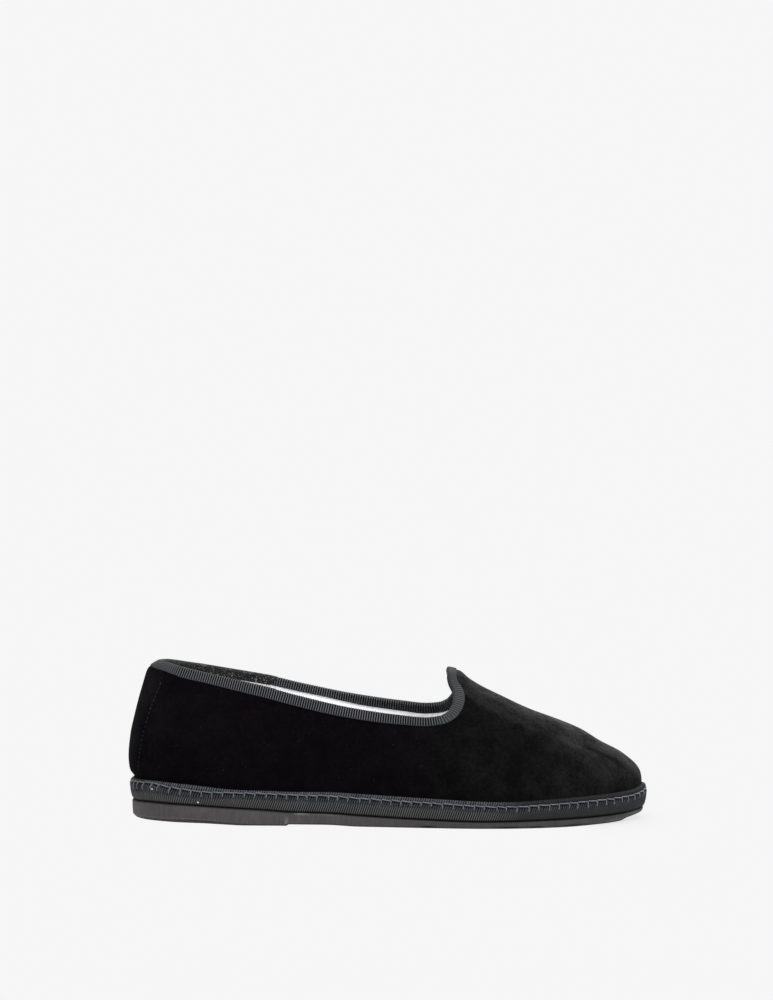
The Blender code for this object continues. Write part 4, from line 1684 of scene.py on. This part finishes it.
@dataclass
class SoleEdge:
    """The ribbed ribbon round the sole's edge and the blanket stitch that holds it."""

    last: Last
    face: Face
    ribbon_finish: RibbedRibbon = RibbedRibbon("sole_ribbon", crest=(0.092, 0.092, 0.093))
    thread_finish: CottonThread = CottonThread("slate_thread", (0.165, 0.185, 0.204))
    lint_finish: CottonThread = CottonThread("white_lint", (0.90, 0.91, 0.94))
    rib_pitch: float = 1.13
    rib_columns: int = 6
    rib_height: float = 0.22
    rib_edge: Span = (0.45, 0.8)
    rib_lean: float = 20.0
    rib_fade: float = 0.06
    rib_least: float = 0.2
    worn_tone: float = 0.42
    heel_light: float = 0.25
    heel_light_from: Span = (36.0, 14.0)
    plain_toe: Span = (178.0, 200.0)
    plain_flat: float = 0.8
    plain_lip: float = 0.55
    toe_shade: float = 0.3
    rib_tone: Tone = Tone(0.06, 0.90)
    plain_rib_tone: Tone = Tone(0.21, 0.07)
    puff_tone: Tone = Tone(0.52, 0.34)
    plain_puff_tone: Tone = Tone(0.44, -0.15)
    puff_end: Span = (0.85, 1.25)
    # Painted shadow under the purl thread, and painted shade at the ribbon's foot.
    purl_shadow_drop: float = 0.85
    purl_shadow_width: float = 0.46
    joint_shade_edge: Span = (0.02, 0.09)
    ribbon_painted_shade: float = 0.97
    face_rows: int = 24
    lip_run: float = 1.0
    lip_edge: Span = (-0.3, 0.3)
    stitch_pitch: float = 5.25
    purl_thread: float = 0.31
    purl_points: int = 9
    purl_slants: Span = (0.2, 0.65)
    purl_sags: Span = (0.0, 0.25)
    purl_sunk: float = 0.5
    purl_sinks: Span = (0.2, 1.6)
    leg_thread: float = 0.28
    leg_points: int = 8
    leg_lengths: Span = (0.85, 1.12)
    leg_leans: Span = (-0.25, 0.25)
    leg_sinks: Span = (0.6, 1.6)
    leg_dive: int = 4
    leg_width: float = 0.7
    leg_top: Span = (-0.2, 0.05)
    leg_end: Span = (1.0, 1.35)
    leg_pinch: float = 0.28
    pinch: float = 0.45
    pinch_width: float = 0.9
    pinch_foot: Span = (0.0, 0.2)
    uneven: float = 0.10
    seed: int = 7
    lint_points: int = 6
    lint_curl: float = 0.02
    lint_turn: float = 4.0
    lint_lift: float = 0.25
    lint_thread: float = 0.3
    swell: tuple[Swell, ...] = (
        Swell(0.0, 0.1),
        Swell(0.10, 0.8),
        Swell(0.30, 1.45),
        Swell(0.55, 1.8),
        Swell(0.80, 1.7),
        Swell(0.95, 1.2),
        Swell(1.0, 0.5),
    )
    stitches: tuple[StitchRow, ...] = (
        StitchRow(2.0, 1.2, 5.0, 1.0, -0.5, 0.0),
        StitchRow(12.0, 1.0, 5.0, 1.4, -0.5, 0.0),
        StitchRow(24.0, 2.1, 4.2, 1.0, -0.3, 0.0),
        StitchRow(36.0, 2.5, 3.6, 0.4, 0.0, 0.0),
        StitchRow(56.0, 1.1, 3.3, 0.2, 0.1, 0.05),
        StitchRow(80.0, 1.2, 3.3, 0.2, 0.1, 0.1),
        StitchRow(120.0, 1.9, 3.2, 0.3, 0.1, 0.4),
        StitchRow(160.0, 1.9, 3.0, 0.3, 0.1, 0.4),
        StitchRow(200.0, 2.2, 3.2, 0.2, 0.1, 0.15),
        StitchRow(230.0, 2.3, 3.8, 0.1, 0.0, 0.0),
        StitchRow(257.0, 2.4, 3.4, 0.0, 0.0, 0.0),
    )
    lint: tuple[Speck, ...] = (Speck(13.4, 0.60, 0.8), Speck(35.2, 0.15, 0.7))
    rubs: tuple[Rub, ...] = (Rub(14.0, 14.0, 0.45), Rub(51.0, 6.0, 0.75), Rub(38.0, 5.0, 0.25))

    def stitch_at(self, run: Array, name: str) -> Array:
        """One number of the stitch table, at ways along the sole's edge."""
        return read(self.stitches, "x", name, self.along(run))

    def along(self, run: Array) -> Array:
        """Places along the foot at ways along the sole's edge."""
        return self.last.outline(run).point[..., 0]

    @cached_property
    def count(self) -> int:
        """How many stitches go round the shoe."""
        return round(self.last.round / self.stitch_pitch)

    @cached_property
    def legs(self) -> Array:
        """Ways along the sole's edge to the stitches' legs, a little uneven."""
        shift = np.random.default_rng(self.seed).uniform(-self.uneven, self.uneven, self.count)
        return (np.arange(self.count) + shift) * self.last.round / self.count

    def height_at(self, run: Array) -> Array:
        """The ribbon's height at ways along the sole's edge."""
        return self.last.band_rise(self.along(run))

    def base_at(self, run: Array, up: Array, out: Array) -> Array:
        """Points in front of the sole's edge.

        Args:
            run: Ways along the sole's edge.
            up: Shares of the ribbon's height.
            out: How far out each point stands.

        Returns:
            The points.
        """
        at = self.last.outline(run)
        plan = self.last.beside(at, out)
        low = self.last.joint_at(plan[..., 0]) + self.last.gap
        z = low + (self.last.band_top(at) - low) * up
        return np.concatenate((plan, z[..., None]), axis=-1)

    def swell_at(self, up: Array) -> Array:
        """How far the ribbon's plain face stands out."""
        return read(self.swell, "share", "out", up)

    def beside_leg(self, run: Array) -> Array:
        """The way from the nearest leg's line."""
        pitch = self.last.round / self.count
        near = np.rint(run / pitch).astype(int)
        there = self.legs[near % self.count] + np.floor_divide(near, self.count) * self.last.round
        return run - there

    def thread_marks(self, run: Array, up: Array) -> tuple[Array, Array, Array]:
        """Where the stitch lies over the ribbon.

        Args:
            run: Ways along the sole's edge.
            up: Shares of the ribbon's height.

        Returns:
            How far each place lies below the purl line, how near it is to a leg, and how far down the legs.
        """
        drop, leg, lean = (self.stitch_at(run, name) for name in ("drop", "leg", "lean"))
        below = (1.0 - up) * self.height_at(run) - drop
        down = below / leg
        beside = self.beside_leg(run + lean * np.clip(down, 0.0, 1.0))
        reach = smooth_step(*self.leg_top, down) * (1.0 - smooth_step(*self.leg_end, down))
        return below, bell(beside, self.leg_width) * reach, down

    def out_at(self, run: Array, up: Array) -> Array:
        """How far the ribbon stands out where the thread draws it in."""
        below, legs, _ = self.thread_marks(run, up)
        drawn = self.pinch * bell(below, self.pinch_width) + self.leg_pinch * legs
        return self.swell_at(up) - drawn * smooth_step(*self.pinch_foot, up)

    def rib_mark(self, run: Array, up: Array, wave: Array) -> tuple[Array, Array]:
        """How light the ribbon is.

        Args:
            run: Ways along the sole's edge.
            up: Shares of the ribbon's height.
            wave: Where each place lies across its rib, one on the crest.

        Returns:
            Zero for the painted shade of a groove to one for the painted light on a rib's crest, darkened by
            painted shadow under the purl thread and painted shade at the joint, and one where the stitch
            puffs it up.
        """
        below, legs, down = self.thread_marks(run, up)
        x = self.along(run)
        plain = smooth_step(*self.plain_toe, x)
        lip = 1.0 - smooth_step(*self.lip_edge, below)
        puffed = (1.0 - smooth_step(*self.puff_end, down)) * (1.0 - self.plain_lip * plain * lip)
        ribbed = self.rib_tone.at(wave) * (1.0 - plain) + self.plain_rib_tone.at(wave) * plain
        puff = self.puff_tone.at(lip) * (1.0 - plain) + self.plain_puff_tone.at(lip) * plain
        mark = (ribbed + (puff - ribbed) * puffed) * (1.0 - self.toe_shade * plain * lip)
        # Painted shadow under the purl thread, between the legs.
        purl_shadow = bell(below - self.purl_shadow_drop, self.purl_shadow_width) * (1.0 - legs)
        # Painted shade along the ribbon's foot, where it meets the rubber.
        foot = 1.0 - smooth_step(*self.joint_shade_edge, up)
        heel = 1.0 + self.heel_light * smooth_step(*self.heel_light_from, x)
        return heel * mark * (1.0 - self.ribbon_painted_shade * purl_shadow) * (1.0 - self.ribbon_painted_shade * foot), puffed

    def rubbed(self, run: Array) -> Array:
        """How flat the ribs are worn at ways along the sole's edge."""
        x = self.along(run)
        return np.clip(np.sum([rub.share * bell(x - rub.x, rub.span) for rub in self.rubs], axis=0), 0.0, 1.0)

    def ribbon(self) -> bpy.types.Object:
        """The ribbon, its ribs leaning towards the toe."""
        count = round(self.last.round / self.rib_pitch) * self.rib_columns
        start = self.last.ways(count)
        wave = rib_wave(count, self.rib_columns, self.rib_edge)
        slope = math.tan(math.radians(self.rib_lean)) * self.height_at(start)
        wave = wave + (self.worn_tone - wave) * self.rubbed(start)
        loops, marks, puffs = [], [], []
        for up in np.linspace(0.0, 1.0, self.face_rows):
            run = start + slope * (up - 0.5)
            flat = np.full(count, up)
            plain = smooth_step(*self.plain_toe, self.along(run))
            ends = float(np.clip(min(up, 1.0 - up) / self.rib_fade, self.rib_least, 1.0))
            rib = (wave - 0.5) * self.rib_height * (1.0 - self.plain_flat * plain) * ends
            loops.append(self.base_at(run, flat, self.out_at(run, flat) + rib))
            mark, puff = self.rib_mark(run, flat, wave)
            marks.append(mark)
            puffs.append(puff)
        lip_share = self.lip_run / np.interp(start, self.face.runs, self.face.rise, period=self.last.round)
        shift = start + slope * 0.5
        loops.append(self.face.off(shift, lip_share, self.last.gap))
        loops.append(self.face.off(shift, np.zeros(count), self.last.gap))
        at = self.last.outline(start)
        outward = np.column_stack((at.facing, np.zeros(count)))
        loops.append(self.last.foot(at) + outward * self.last.gap)
        hidden = [np.zeros(count)] * (len(loops) - len(marks))
        marks += hidden
        puffs += hidden
        size = (self.last.round, self.height_at(start).mean())
        carried = {"rib": np.array(marks), "puffed": np.array(puffs)}
        piece = lay_grid("sole_ribbon", np.array(loops), self.last, size=size, marks=carried)
        return dress(piece, self.ribbon_finish.material(), "sole_band", "sole_band")

    def stitching(self) -> bpy.types.Object:
        """The blanket stitch: a line along the ribbon's top with a leg hanging from every stitch."""
        work = ThreadWork(self.last)
        chance = np.random.default_rng(self.seed + 1)
        following = np.append(self.legs[1:], self.legs[0] + self.last.round)
        over, down = (np.linspace(0.0, 1.0, points) for points in (self.purl_points, self.leg_points))
        names = ("leg", "lean", "bow", "sunk")
        for here, there in zip(self.legs, following):
            leg, lean, bow, sunk = (float(self.stitch_at(np.array(here), name)) for name in names)
            slant, sag = chance.uniform(*self.purl_slants), chance.uniform(*self.purl_sags)
            below = slant * (over - 0.5) + sag * np.sin(math.pi * over)
            sink = self.purl_sunk * sunk * chance.uniform(*self.purl_sinks)
            self._lay(work, here + over * (there - here), below, self.purl_thread, sink)
            leg, lean = leg * chance.uniform(*self.leg_lengths), lean + chance.uniform(*self.leg_leans)
            run = here - lean * down + bow * np.sin(math.pi * down)
            sink = down**self.leg_dive + sunk * chance.uniform(*self.leg_sinks)
            self._lay(work, run, down * leg - 0.5 * slant, self.leg_thread, sink)
        piece = work.sew("blanket_stitch")
        return dress(piece, self.thread_finish.material(), "sole_band")

    def _lay(
        self, work: ThreadWork, run: Array, below: Array, thread: float, sink: Union[float, Array]
    ) -> None:
        """Lays one thread on the ribbon.

        Args:
            work: Where the thread goes.
            run: Ways along the sole's edge.
            below: How far each point hangs under the purl line.
            thread: The thread's radius.
            sink: How far it goes back into the ribbon, in thread widths.
        """
        up = 1.0 - (self.stitch_at(run, "drop") + below) / self.height_at(run)
        out = self.out_at(run, up) + thread - 2.0 * thread * np.asarray(sink)
        work.add(self.base_at(run, up, out), thread)

    def fluff(self) -> bpy.types.Object:
        """Bits of white lint that cling to the ribbon."""
        work = ThreadWork(self.last)
        part = np.linspace(0.0, 1.0, self.lint_points)
        for speck in self.lint:
            run = self.last.run_at(speck.x, Side.OUTER) + speck.length * (part - 0.5)
            up = speck.up + self.lint_curl * np.sin(self.lint_turn * part)
            work.add(self.base_at(run, up, self.out_at(run, up) + self.lint_lift), self.lint_thread)
        piece = work.sew("lint")
        return dress(piece, self.lint_finish.material(), "sole_band")

    def build(self) -> None:
        """Makes the ribbon, its stitch and the lint on it."""
        self.ribbon()
        self.stitching()
        self.fluff()


class Scuff(NamedTuple):
    """A mark on the rubber's outer side, used for scuffs, for a painted reflection and for painted contact
    shadows: its place along the foot, span, height shares and strength.
    """

    x: float
    span: float
    up: float
    tall: float
    strength: float


@dataclass
class Sole:
    """The rubber outsole and the cloth-covered insole."""

    last: Last
    rubber_finish: MouldedRubber = MouldedRubber()
    insole_finish: WovenCotton = WovenCotton("cotton_insole", (0.80, 0.79, 0.76), (0.70, 0.69, 0.66))
    columns: int = 900
    rubber_map: float = 60.0
    tread_parts: tuple[float, ...] = (0.0, 0.35, 0.7, 0.94)
    tread_inset: float = 0.3
    tread_chamfer: float = 0.6
    heel_chamfer: float = 2.1
    heel_chamfer_from: float = 75.0
    heel_chamfer_full: float = 30.0
    heel_back_share: float = 0.4
    heel_rub: float = 0.5
    chamfer_parts: tuple[float, ...] = (0.0, 0.12, 0.5, 0.85, 1.0)
    heel_flare: float = 0.8
    flare_from: Span = (16.0, 4.0)
    top_edge: float = 0.4
    spine_inset: float = 9.0
    side_rows: int = 12
    side_from: float = 0.08
    side_swell: float = 0.12
    shaded: float = 0.49
    joint_painted_shade: float = 0.8
    contact_shadow_until: float = 0.2
    insole_columns: int = 450
    insole_rows: int = 10
    insole_map: float = 90.0
    insole_thickness: float = 6.5
    insole_inset: float = 4.0
    insole_edge: float = 0.6
    insole_crown: float = 0.5
    tread: tuple[Level, ...] = (
        Level(2.5, 1.4),
        Level(16.0, 1.25),
        Level(36.0, 0.9),
        Level(50.0, 0.3),
        Level(58.0, 0.0),
        Level(79.0, 0.0),
        Level(80.2, 0.7),
        Level(98.0, 0.7),
        Level(116.0, 0.0),
        Level(214.0, 0.0),
        Level(236.0, 0.5),
        Level(245.5, 1.0),
        Level(248.5, 2.1),
        Level(252.0, 2.7),
        Level(258.0, 3.6),
    )
    # Painted contact shadows along the forefoot's lower edge.
    contact_shadows: tuple[Scuff, ...] = (
        Scuff(149.0, 3.5, 0.0, 1.0, 1.0),
        Scuff(189.0, 7.0, 0.0, 1.0, 1.0),
        Scuff(203.0, 4.0, 0.0, 1.0, 0.8),
        Scuff(222.0, 6.0, 0.0, 1.0, 0.8),
    )
    scuffs_and_painted_light: tuple[Scuff, ...] = (
        Scuff(86.5, 3.5, 0.95, 0.10, 0.9),
        Scuff(99.0, 7.0, 0.95, 0.08, 0.4),
        Scuff(79.0, 0.7, 0.30, 0.30, 0.8),
        Scuff(5.0, 5.0, 0.50, 0.60, 0.20),
        # A painted reflection of the pale floor on the toe's lower edge.
        Scuff(243.0, 4.0, 0.10, 0.25, 0.45),
        Scuff(253.0, 5.0, 0.50, 0.60, 0.22),
    )

    def tread_at(self, x: Array) -> Array:
        """Height of the tread along the foot."""
        return read(self.tread, "x", "z", x)

    def spine(self, at: Outline) -> Array:
        """Plan points of the middle line, one for each column."""
        low, high = self.last.plan[0].x + self.spine_inset, self.last.plan[-1].x - self.spine_inset
        x = np.clip(at.point[:, 0], low, high)
        order = np.argsort(at.point[:, 0])
        return np.column_stack((x, np.interp(x, at.point[order, 0], at.middle[order])))

    def rub_at(self, scuffs_and_painted_light: tuple[Scuff, ...], at: Outline, up: float) -> Array:
        """How strongly marks on the outer side show at one share of the side's height."""
        x, outer = at.point[:, 0], at.point[:, 1] < at.middle
        marks = [
            scuff.strength * bell(x - scuff.x, scuff.span) * bell(np.array(up - scuff.up), scuff.tall)
            for scuff in scuffs_and_painted_light
        ]
        return np.sum(marks, axis=0) * outer

    def outsole(self) -> bpy.types.Object:
        """The rubber, with a chamfer under its edge that is deep at the heel."""
        at = self.last.outline(self.last.ways(self.columns))
        heel = smooth_step(self.heel_chamfer_from, self.heel_chamfer_full, at.point[:, 0])
        side_on = 1.0 - self.heel_back_share * at.facing[:, 0] ** 2
        chamfer = self.tread_chamfer + (self.heel_chamfer * side_on - self.tread_chamfer) * heel
        inner = self.spine(at)
        flare = self.heel_flare * smooth_step(*self.flare_from, at.point[:, 0])
        ground = self.last.beside(at, flare - self.tread_inset - chamfer)
        side = self.last.beside(at, flare - self.tread_inset)
        brow = self.last.beside(at, flare)
        rim = self.last.beside(at, -self.top_edge)
        top = self.last.joint_at(at.point[:, 0]) - self.top_edge
        loops, rubbed, under = [], [], []

        def loop(plan: Array, z: Array, worn: Union[float, Array], dark: Union[float, Array]) -> None:
            """Adds a loop of the rubber, its wear and painted reflection, and its painted shade."""
            loops.append(np.column_stack((plan, z)))
            rubbed.append(np.broadcast_to(np.asarray(worn, float), (len(z),)))
            under.append(np.broadcast_to(np.asarray(dark, float), (len(z),)))

        for part in self.tread_parts:
            plan = inner + (ground - inner) * part
            loop(plan, self.tread_at(plan[:, 0]), 0.0, self.shaded)
        low, high = self.tread_at(ground[:, 0]), self.tread_at(side[:, 0]) + chamfer
        contact_shadow = self.rub_at(self.contact_shadows, at, 0.0)
        for part in self.chamfer_parts:
            worn = self.heel_rub * heel * (part == 1.0)
            # Painted shade on the chamfer and painted contact shadow.
            dark = np.maximum(self.shaded * (part < 1.0), contact_shadow)
            loop(ground + (side - ground) * part, low + (high - low) * part, worn, dark)
        for part in np.linspace(self.side_from, 1.0, self.side_rows):
            plan = side + (brow - side) * part + at.facing * (self.side_swell * math.sin(math.pi * part))
            # Painted shade along the joint, painted contact shadow at the lower edge.
            dark = self.joint_painted_shade if part == 1.0 else contact_shadow * (part < self.contact_shadow_until)
            loop(plan, high + (top - high) * part, self.rub_at(self.scuffs_and_painted_light, at, part), dark)
        loop(rim, self.last.joint_at(rim[:, 0]), 0.0, self.joint_painted_shade)
        loop(inner, self.last.joint_at(inner[:, 0]), 0.0, self.joint_painted_shade)
        size = (self.last.round, self.rubber_map)
        marks = {"rubbed": np.array(rubbed), "under": np.array(under)}
        piece = lay_grid("rubber_outsole", np.array(loops), self.last, tube=False, size=size, marks=marks)
        return dress(piece, self.rubber_finish.material(), "outsole", "outsole")

    def insole(self) -> bpy.types.Object:
        """The padded insole, crowned a little, in white cotton."""
        at = self.last.outline(self.last.ways(self.insole_columns))
        inner = self.spine(at)
        edge = self.last.beside(at, -self.insole_inset)
        rim = self.last.beside(at, -self.insole_inset - self.insole_edge)
        floor = self.last.joint_at(edge[:, 0]) + self.last.gap
        loops = [np.column_stack((inner, self.last.joint_at(inner[:, 0]) + self.last.gap))]
        loops.append(np.column_stack((edge, floor)))
        loops.append(np.column_stack((edge, floor + self.insole_thickness - self.insole_edge)))
        for part in np.linspace(0.0, 1.0, self.insole_rows):
            plan = rim + (inner - rim) * part
            height = self.insole_thickness - self.insole_crown * (1.0 - part) ** 3
            loops.append(np.column_stack((plan, self.last.joint_at(plan[:, 0]) + self.last.gap + height)))
        size = (self.last.round, self.insole_map)
        piece = lay_grid("cotton_insole", np.array(loops), self.last, tube=False, size=size)
        return dress(piece, self.insole_finish.material(), "insole", "insole")

    def build(self) -> None:
        """Makes the outsole and the insole."""
        self.outsole()
        self.insole()


@dataclass(frozen=True)
class SoftBox:
    """A square studio light that looks at the shoe, placed in metres."""

    name: str
    place: tuple[float, float, float]
    size: float
    power: float

    def hang(self, target: Vector) -> None:
        """Hangs the light, turned to a target."""
        lamp = bpy.data.lights.new(self.name, "AREA")
        lamp.shape = "SQUARE"
        lamp.size = self.size
        lamp.energy = self.power
        held = bpy.data.objects.new(self.name, lamp)
        held.location = self.place
        held.rotation_euler = (target - Vector(self.place)).to_track_quat("-Z", "Y").to_euler()
        bpy.context.scene.collection.objects.link(held)


@dataclass
class Studio:
    """Pale sweep, soft light and the photograph's camera, in metres; only the shadow is in millimetres."""

    elevation: float = 6.5
    distance: float = 5.0
    aim_height: float = 0.037
    aim_row: float = 744.9
    aim_column: float = 387.7
    frame_width: float = 773.0
    frame_height: float = 1000.0
    pixels_per_metre: float = 2000.0
    sensor: float = 36.0
    ambient: float = 0.60
    backdrop: float = 0.9216
    floor_albedo: float = 0.09
    floor_light: float = 1.89
    shadow_middle: Span = (124.0, 0.0)
    shadow_reach: Span = (26.0, 120.0)
    shadow_edge: Span = (0.2, 1.6)
    sweep_steps: int = 40
    sweep_front: float = 6.0
    sweep_flat: float = 3.0
    sweep_radius: float = 2.0
    sweep_wall: float = 4.0
    sweep_width: float = 16.0
    bend: Span = (0.3, 0.9)
    boxes: tuple[SoftBox, ...] = (
        SoftBox("key_box", (0.35, -0.85, 1.35), 1.2, 28.0),
        SoftBox("back_box", (0.25, 0.90, 1.30), 1.2, 18.0),
    )

    def camera(self) -> None:
        """Stands the camera off the outer side, a little above, and aims it as in the photograph."""
        drop = self.aim_row - self.frame_height / 2.0
        tilt = math.atan(drop / (self.pixels_per_metre * self.distance))
        focal = self.pixels_per_metre * self.distance * math.cos(tilt)
        lens = bpy.data.cameras.new("camera")
        lens.sensor_width = self.sensor
        lens.lens = focal * self.sensor / self.frame_height
        held = bpy.data.objects.new("camera", lens)
        high = math.radians(self.elevation)
        aside = (self.frame_width / 2.0 - self.aim_column) / self.pixels_per_metre
        aim = Vector((aside, 0.0, self.aim_height))
        held.location = aim + Vector((0.0, -math.cos(high), math.sin(high))) * self.distance
        pitch = high - tilt
        held.rotation_euler = (math.pi / 2.0 - pitch, 0.0, 0.0)
        bpy.context.scene.collection.objects.link(held)
        bpy.context.scene.camera = held

    def sweep_line(self, part: float) -> tuple[float, float]:
        """Where the sweep's line stands behind the shoe and how high, at a share of its way up."""
        start, end = self.bend
        if part < start:
            return (self.sweep_front + self.sweep_flat) * part / start - self.sweep_front, 0.0
        if part < end:
            angle = (part - start) / (end - start) * math.pi / 2.0
            back = self.sweep_flat + self.sweep_radius * math.sin(angle)
            return back, self.sweep_radius * (1.0 - math.cos(angle))
        up = (part - end) / (1.0 - end)
        return self.sweep_flat + self.sweep_radius, self.sweep_radius + self.sweep_wall * up

    def sweep(self) -> None:
        """A pale floor that curves up into a wall."""
        sheet = bmesh.new()
        bmesh.ops.create_grid(sheet, x_segments=1, y_segments=self.sweep_steps, size=0.5)
        for vert in sheet.verts:
            vert.co = (vert.co.x * self.sweep_width, *self.sweep_line(vert.co.y + 0.5))
        mesh = bpy.data.meshes.new("sweep")
        sheet.to_mesh(mesh)
        sheet.free()
        mesh.shade_smooth()
        floor = bpy.data.objects.new("sweep", mesh)
        bpy.context.scene.collection.objects.link(floor)
        graph = Graph("pale_sweep")
        place = graph.place()
        aside, ahead = (
            (graph.axis(place, name) - middle) / reach
            for name, middle, reach in zip("XY", self.shadow_middle, self.shadow_reach)
        )
        beyond = (aside * aside + ahead * ahead).step(*self.shadow_edge)
        lit = self.backdrop - self.floor_albedo * self.floor_light
        mesh.materials.append(
            graph.finish(
                Base_Color=graph.blend(beyond, (self.floor_albedo,) * 3, (0.0,) * 3),
                Roughness=1.0,
                Specular_IOR_Level=0.0,
                Emission_Color=graph.blend(beyond, (lit,) * 3, (self.backdrop,) * 3),
                Emission_Strength=1.0,
            )
        )

    def light(self) -> None:
        """Even light from all round and the soft boxes."""
        scene = bpy.context.scene
        scene.world = bpy.data.worlds.new("studio")
        scene.world.use_nodes = True
        ambient = scene.world.node_tree.nodes["Background"]
        ambient.inputs["Color"].default_value = (1.0, 1.0, 1.0, 1.0)
        ambient.inputs["Strength"].default_value = self.ambient
        for box in self.boxes:
            box.hang(Vector((0.0, 0.0, self.aim_height)))
        scene.view_settings.view_transform = "Standard"

    def build(self) -> None:
        """Sets up floor, light and camera."""
        self.sweep()
        self.light()
        self.camera()


def corners(box: tuple[Vector, Vector]) -> list[list[float]]:
    """A box's corners as plain lists."""
    return [list(corner) for corner in box]


def main() -> None:
    """Builds the shoe's looks over its frame, and the studio round it."""
    logging.basicConfig(level=logging.INFO, format="%(name)s: %(message)s")
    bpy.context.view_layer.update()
    last = Last()
    face = Face(last, columns=720, rows=160)
    Studio().build()
    Upper(last, face).build()
    Collar(last, face).build()
    SoleEdge(last, face).build()
    Sole(last).build()
    bpy.context.view_layer.update()


if __name__ == "__main__":
    main()
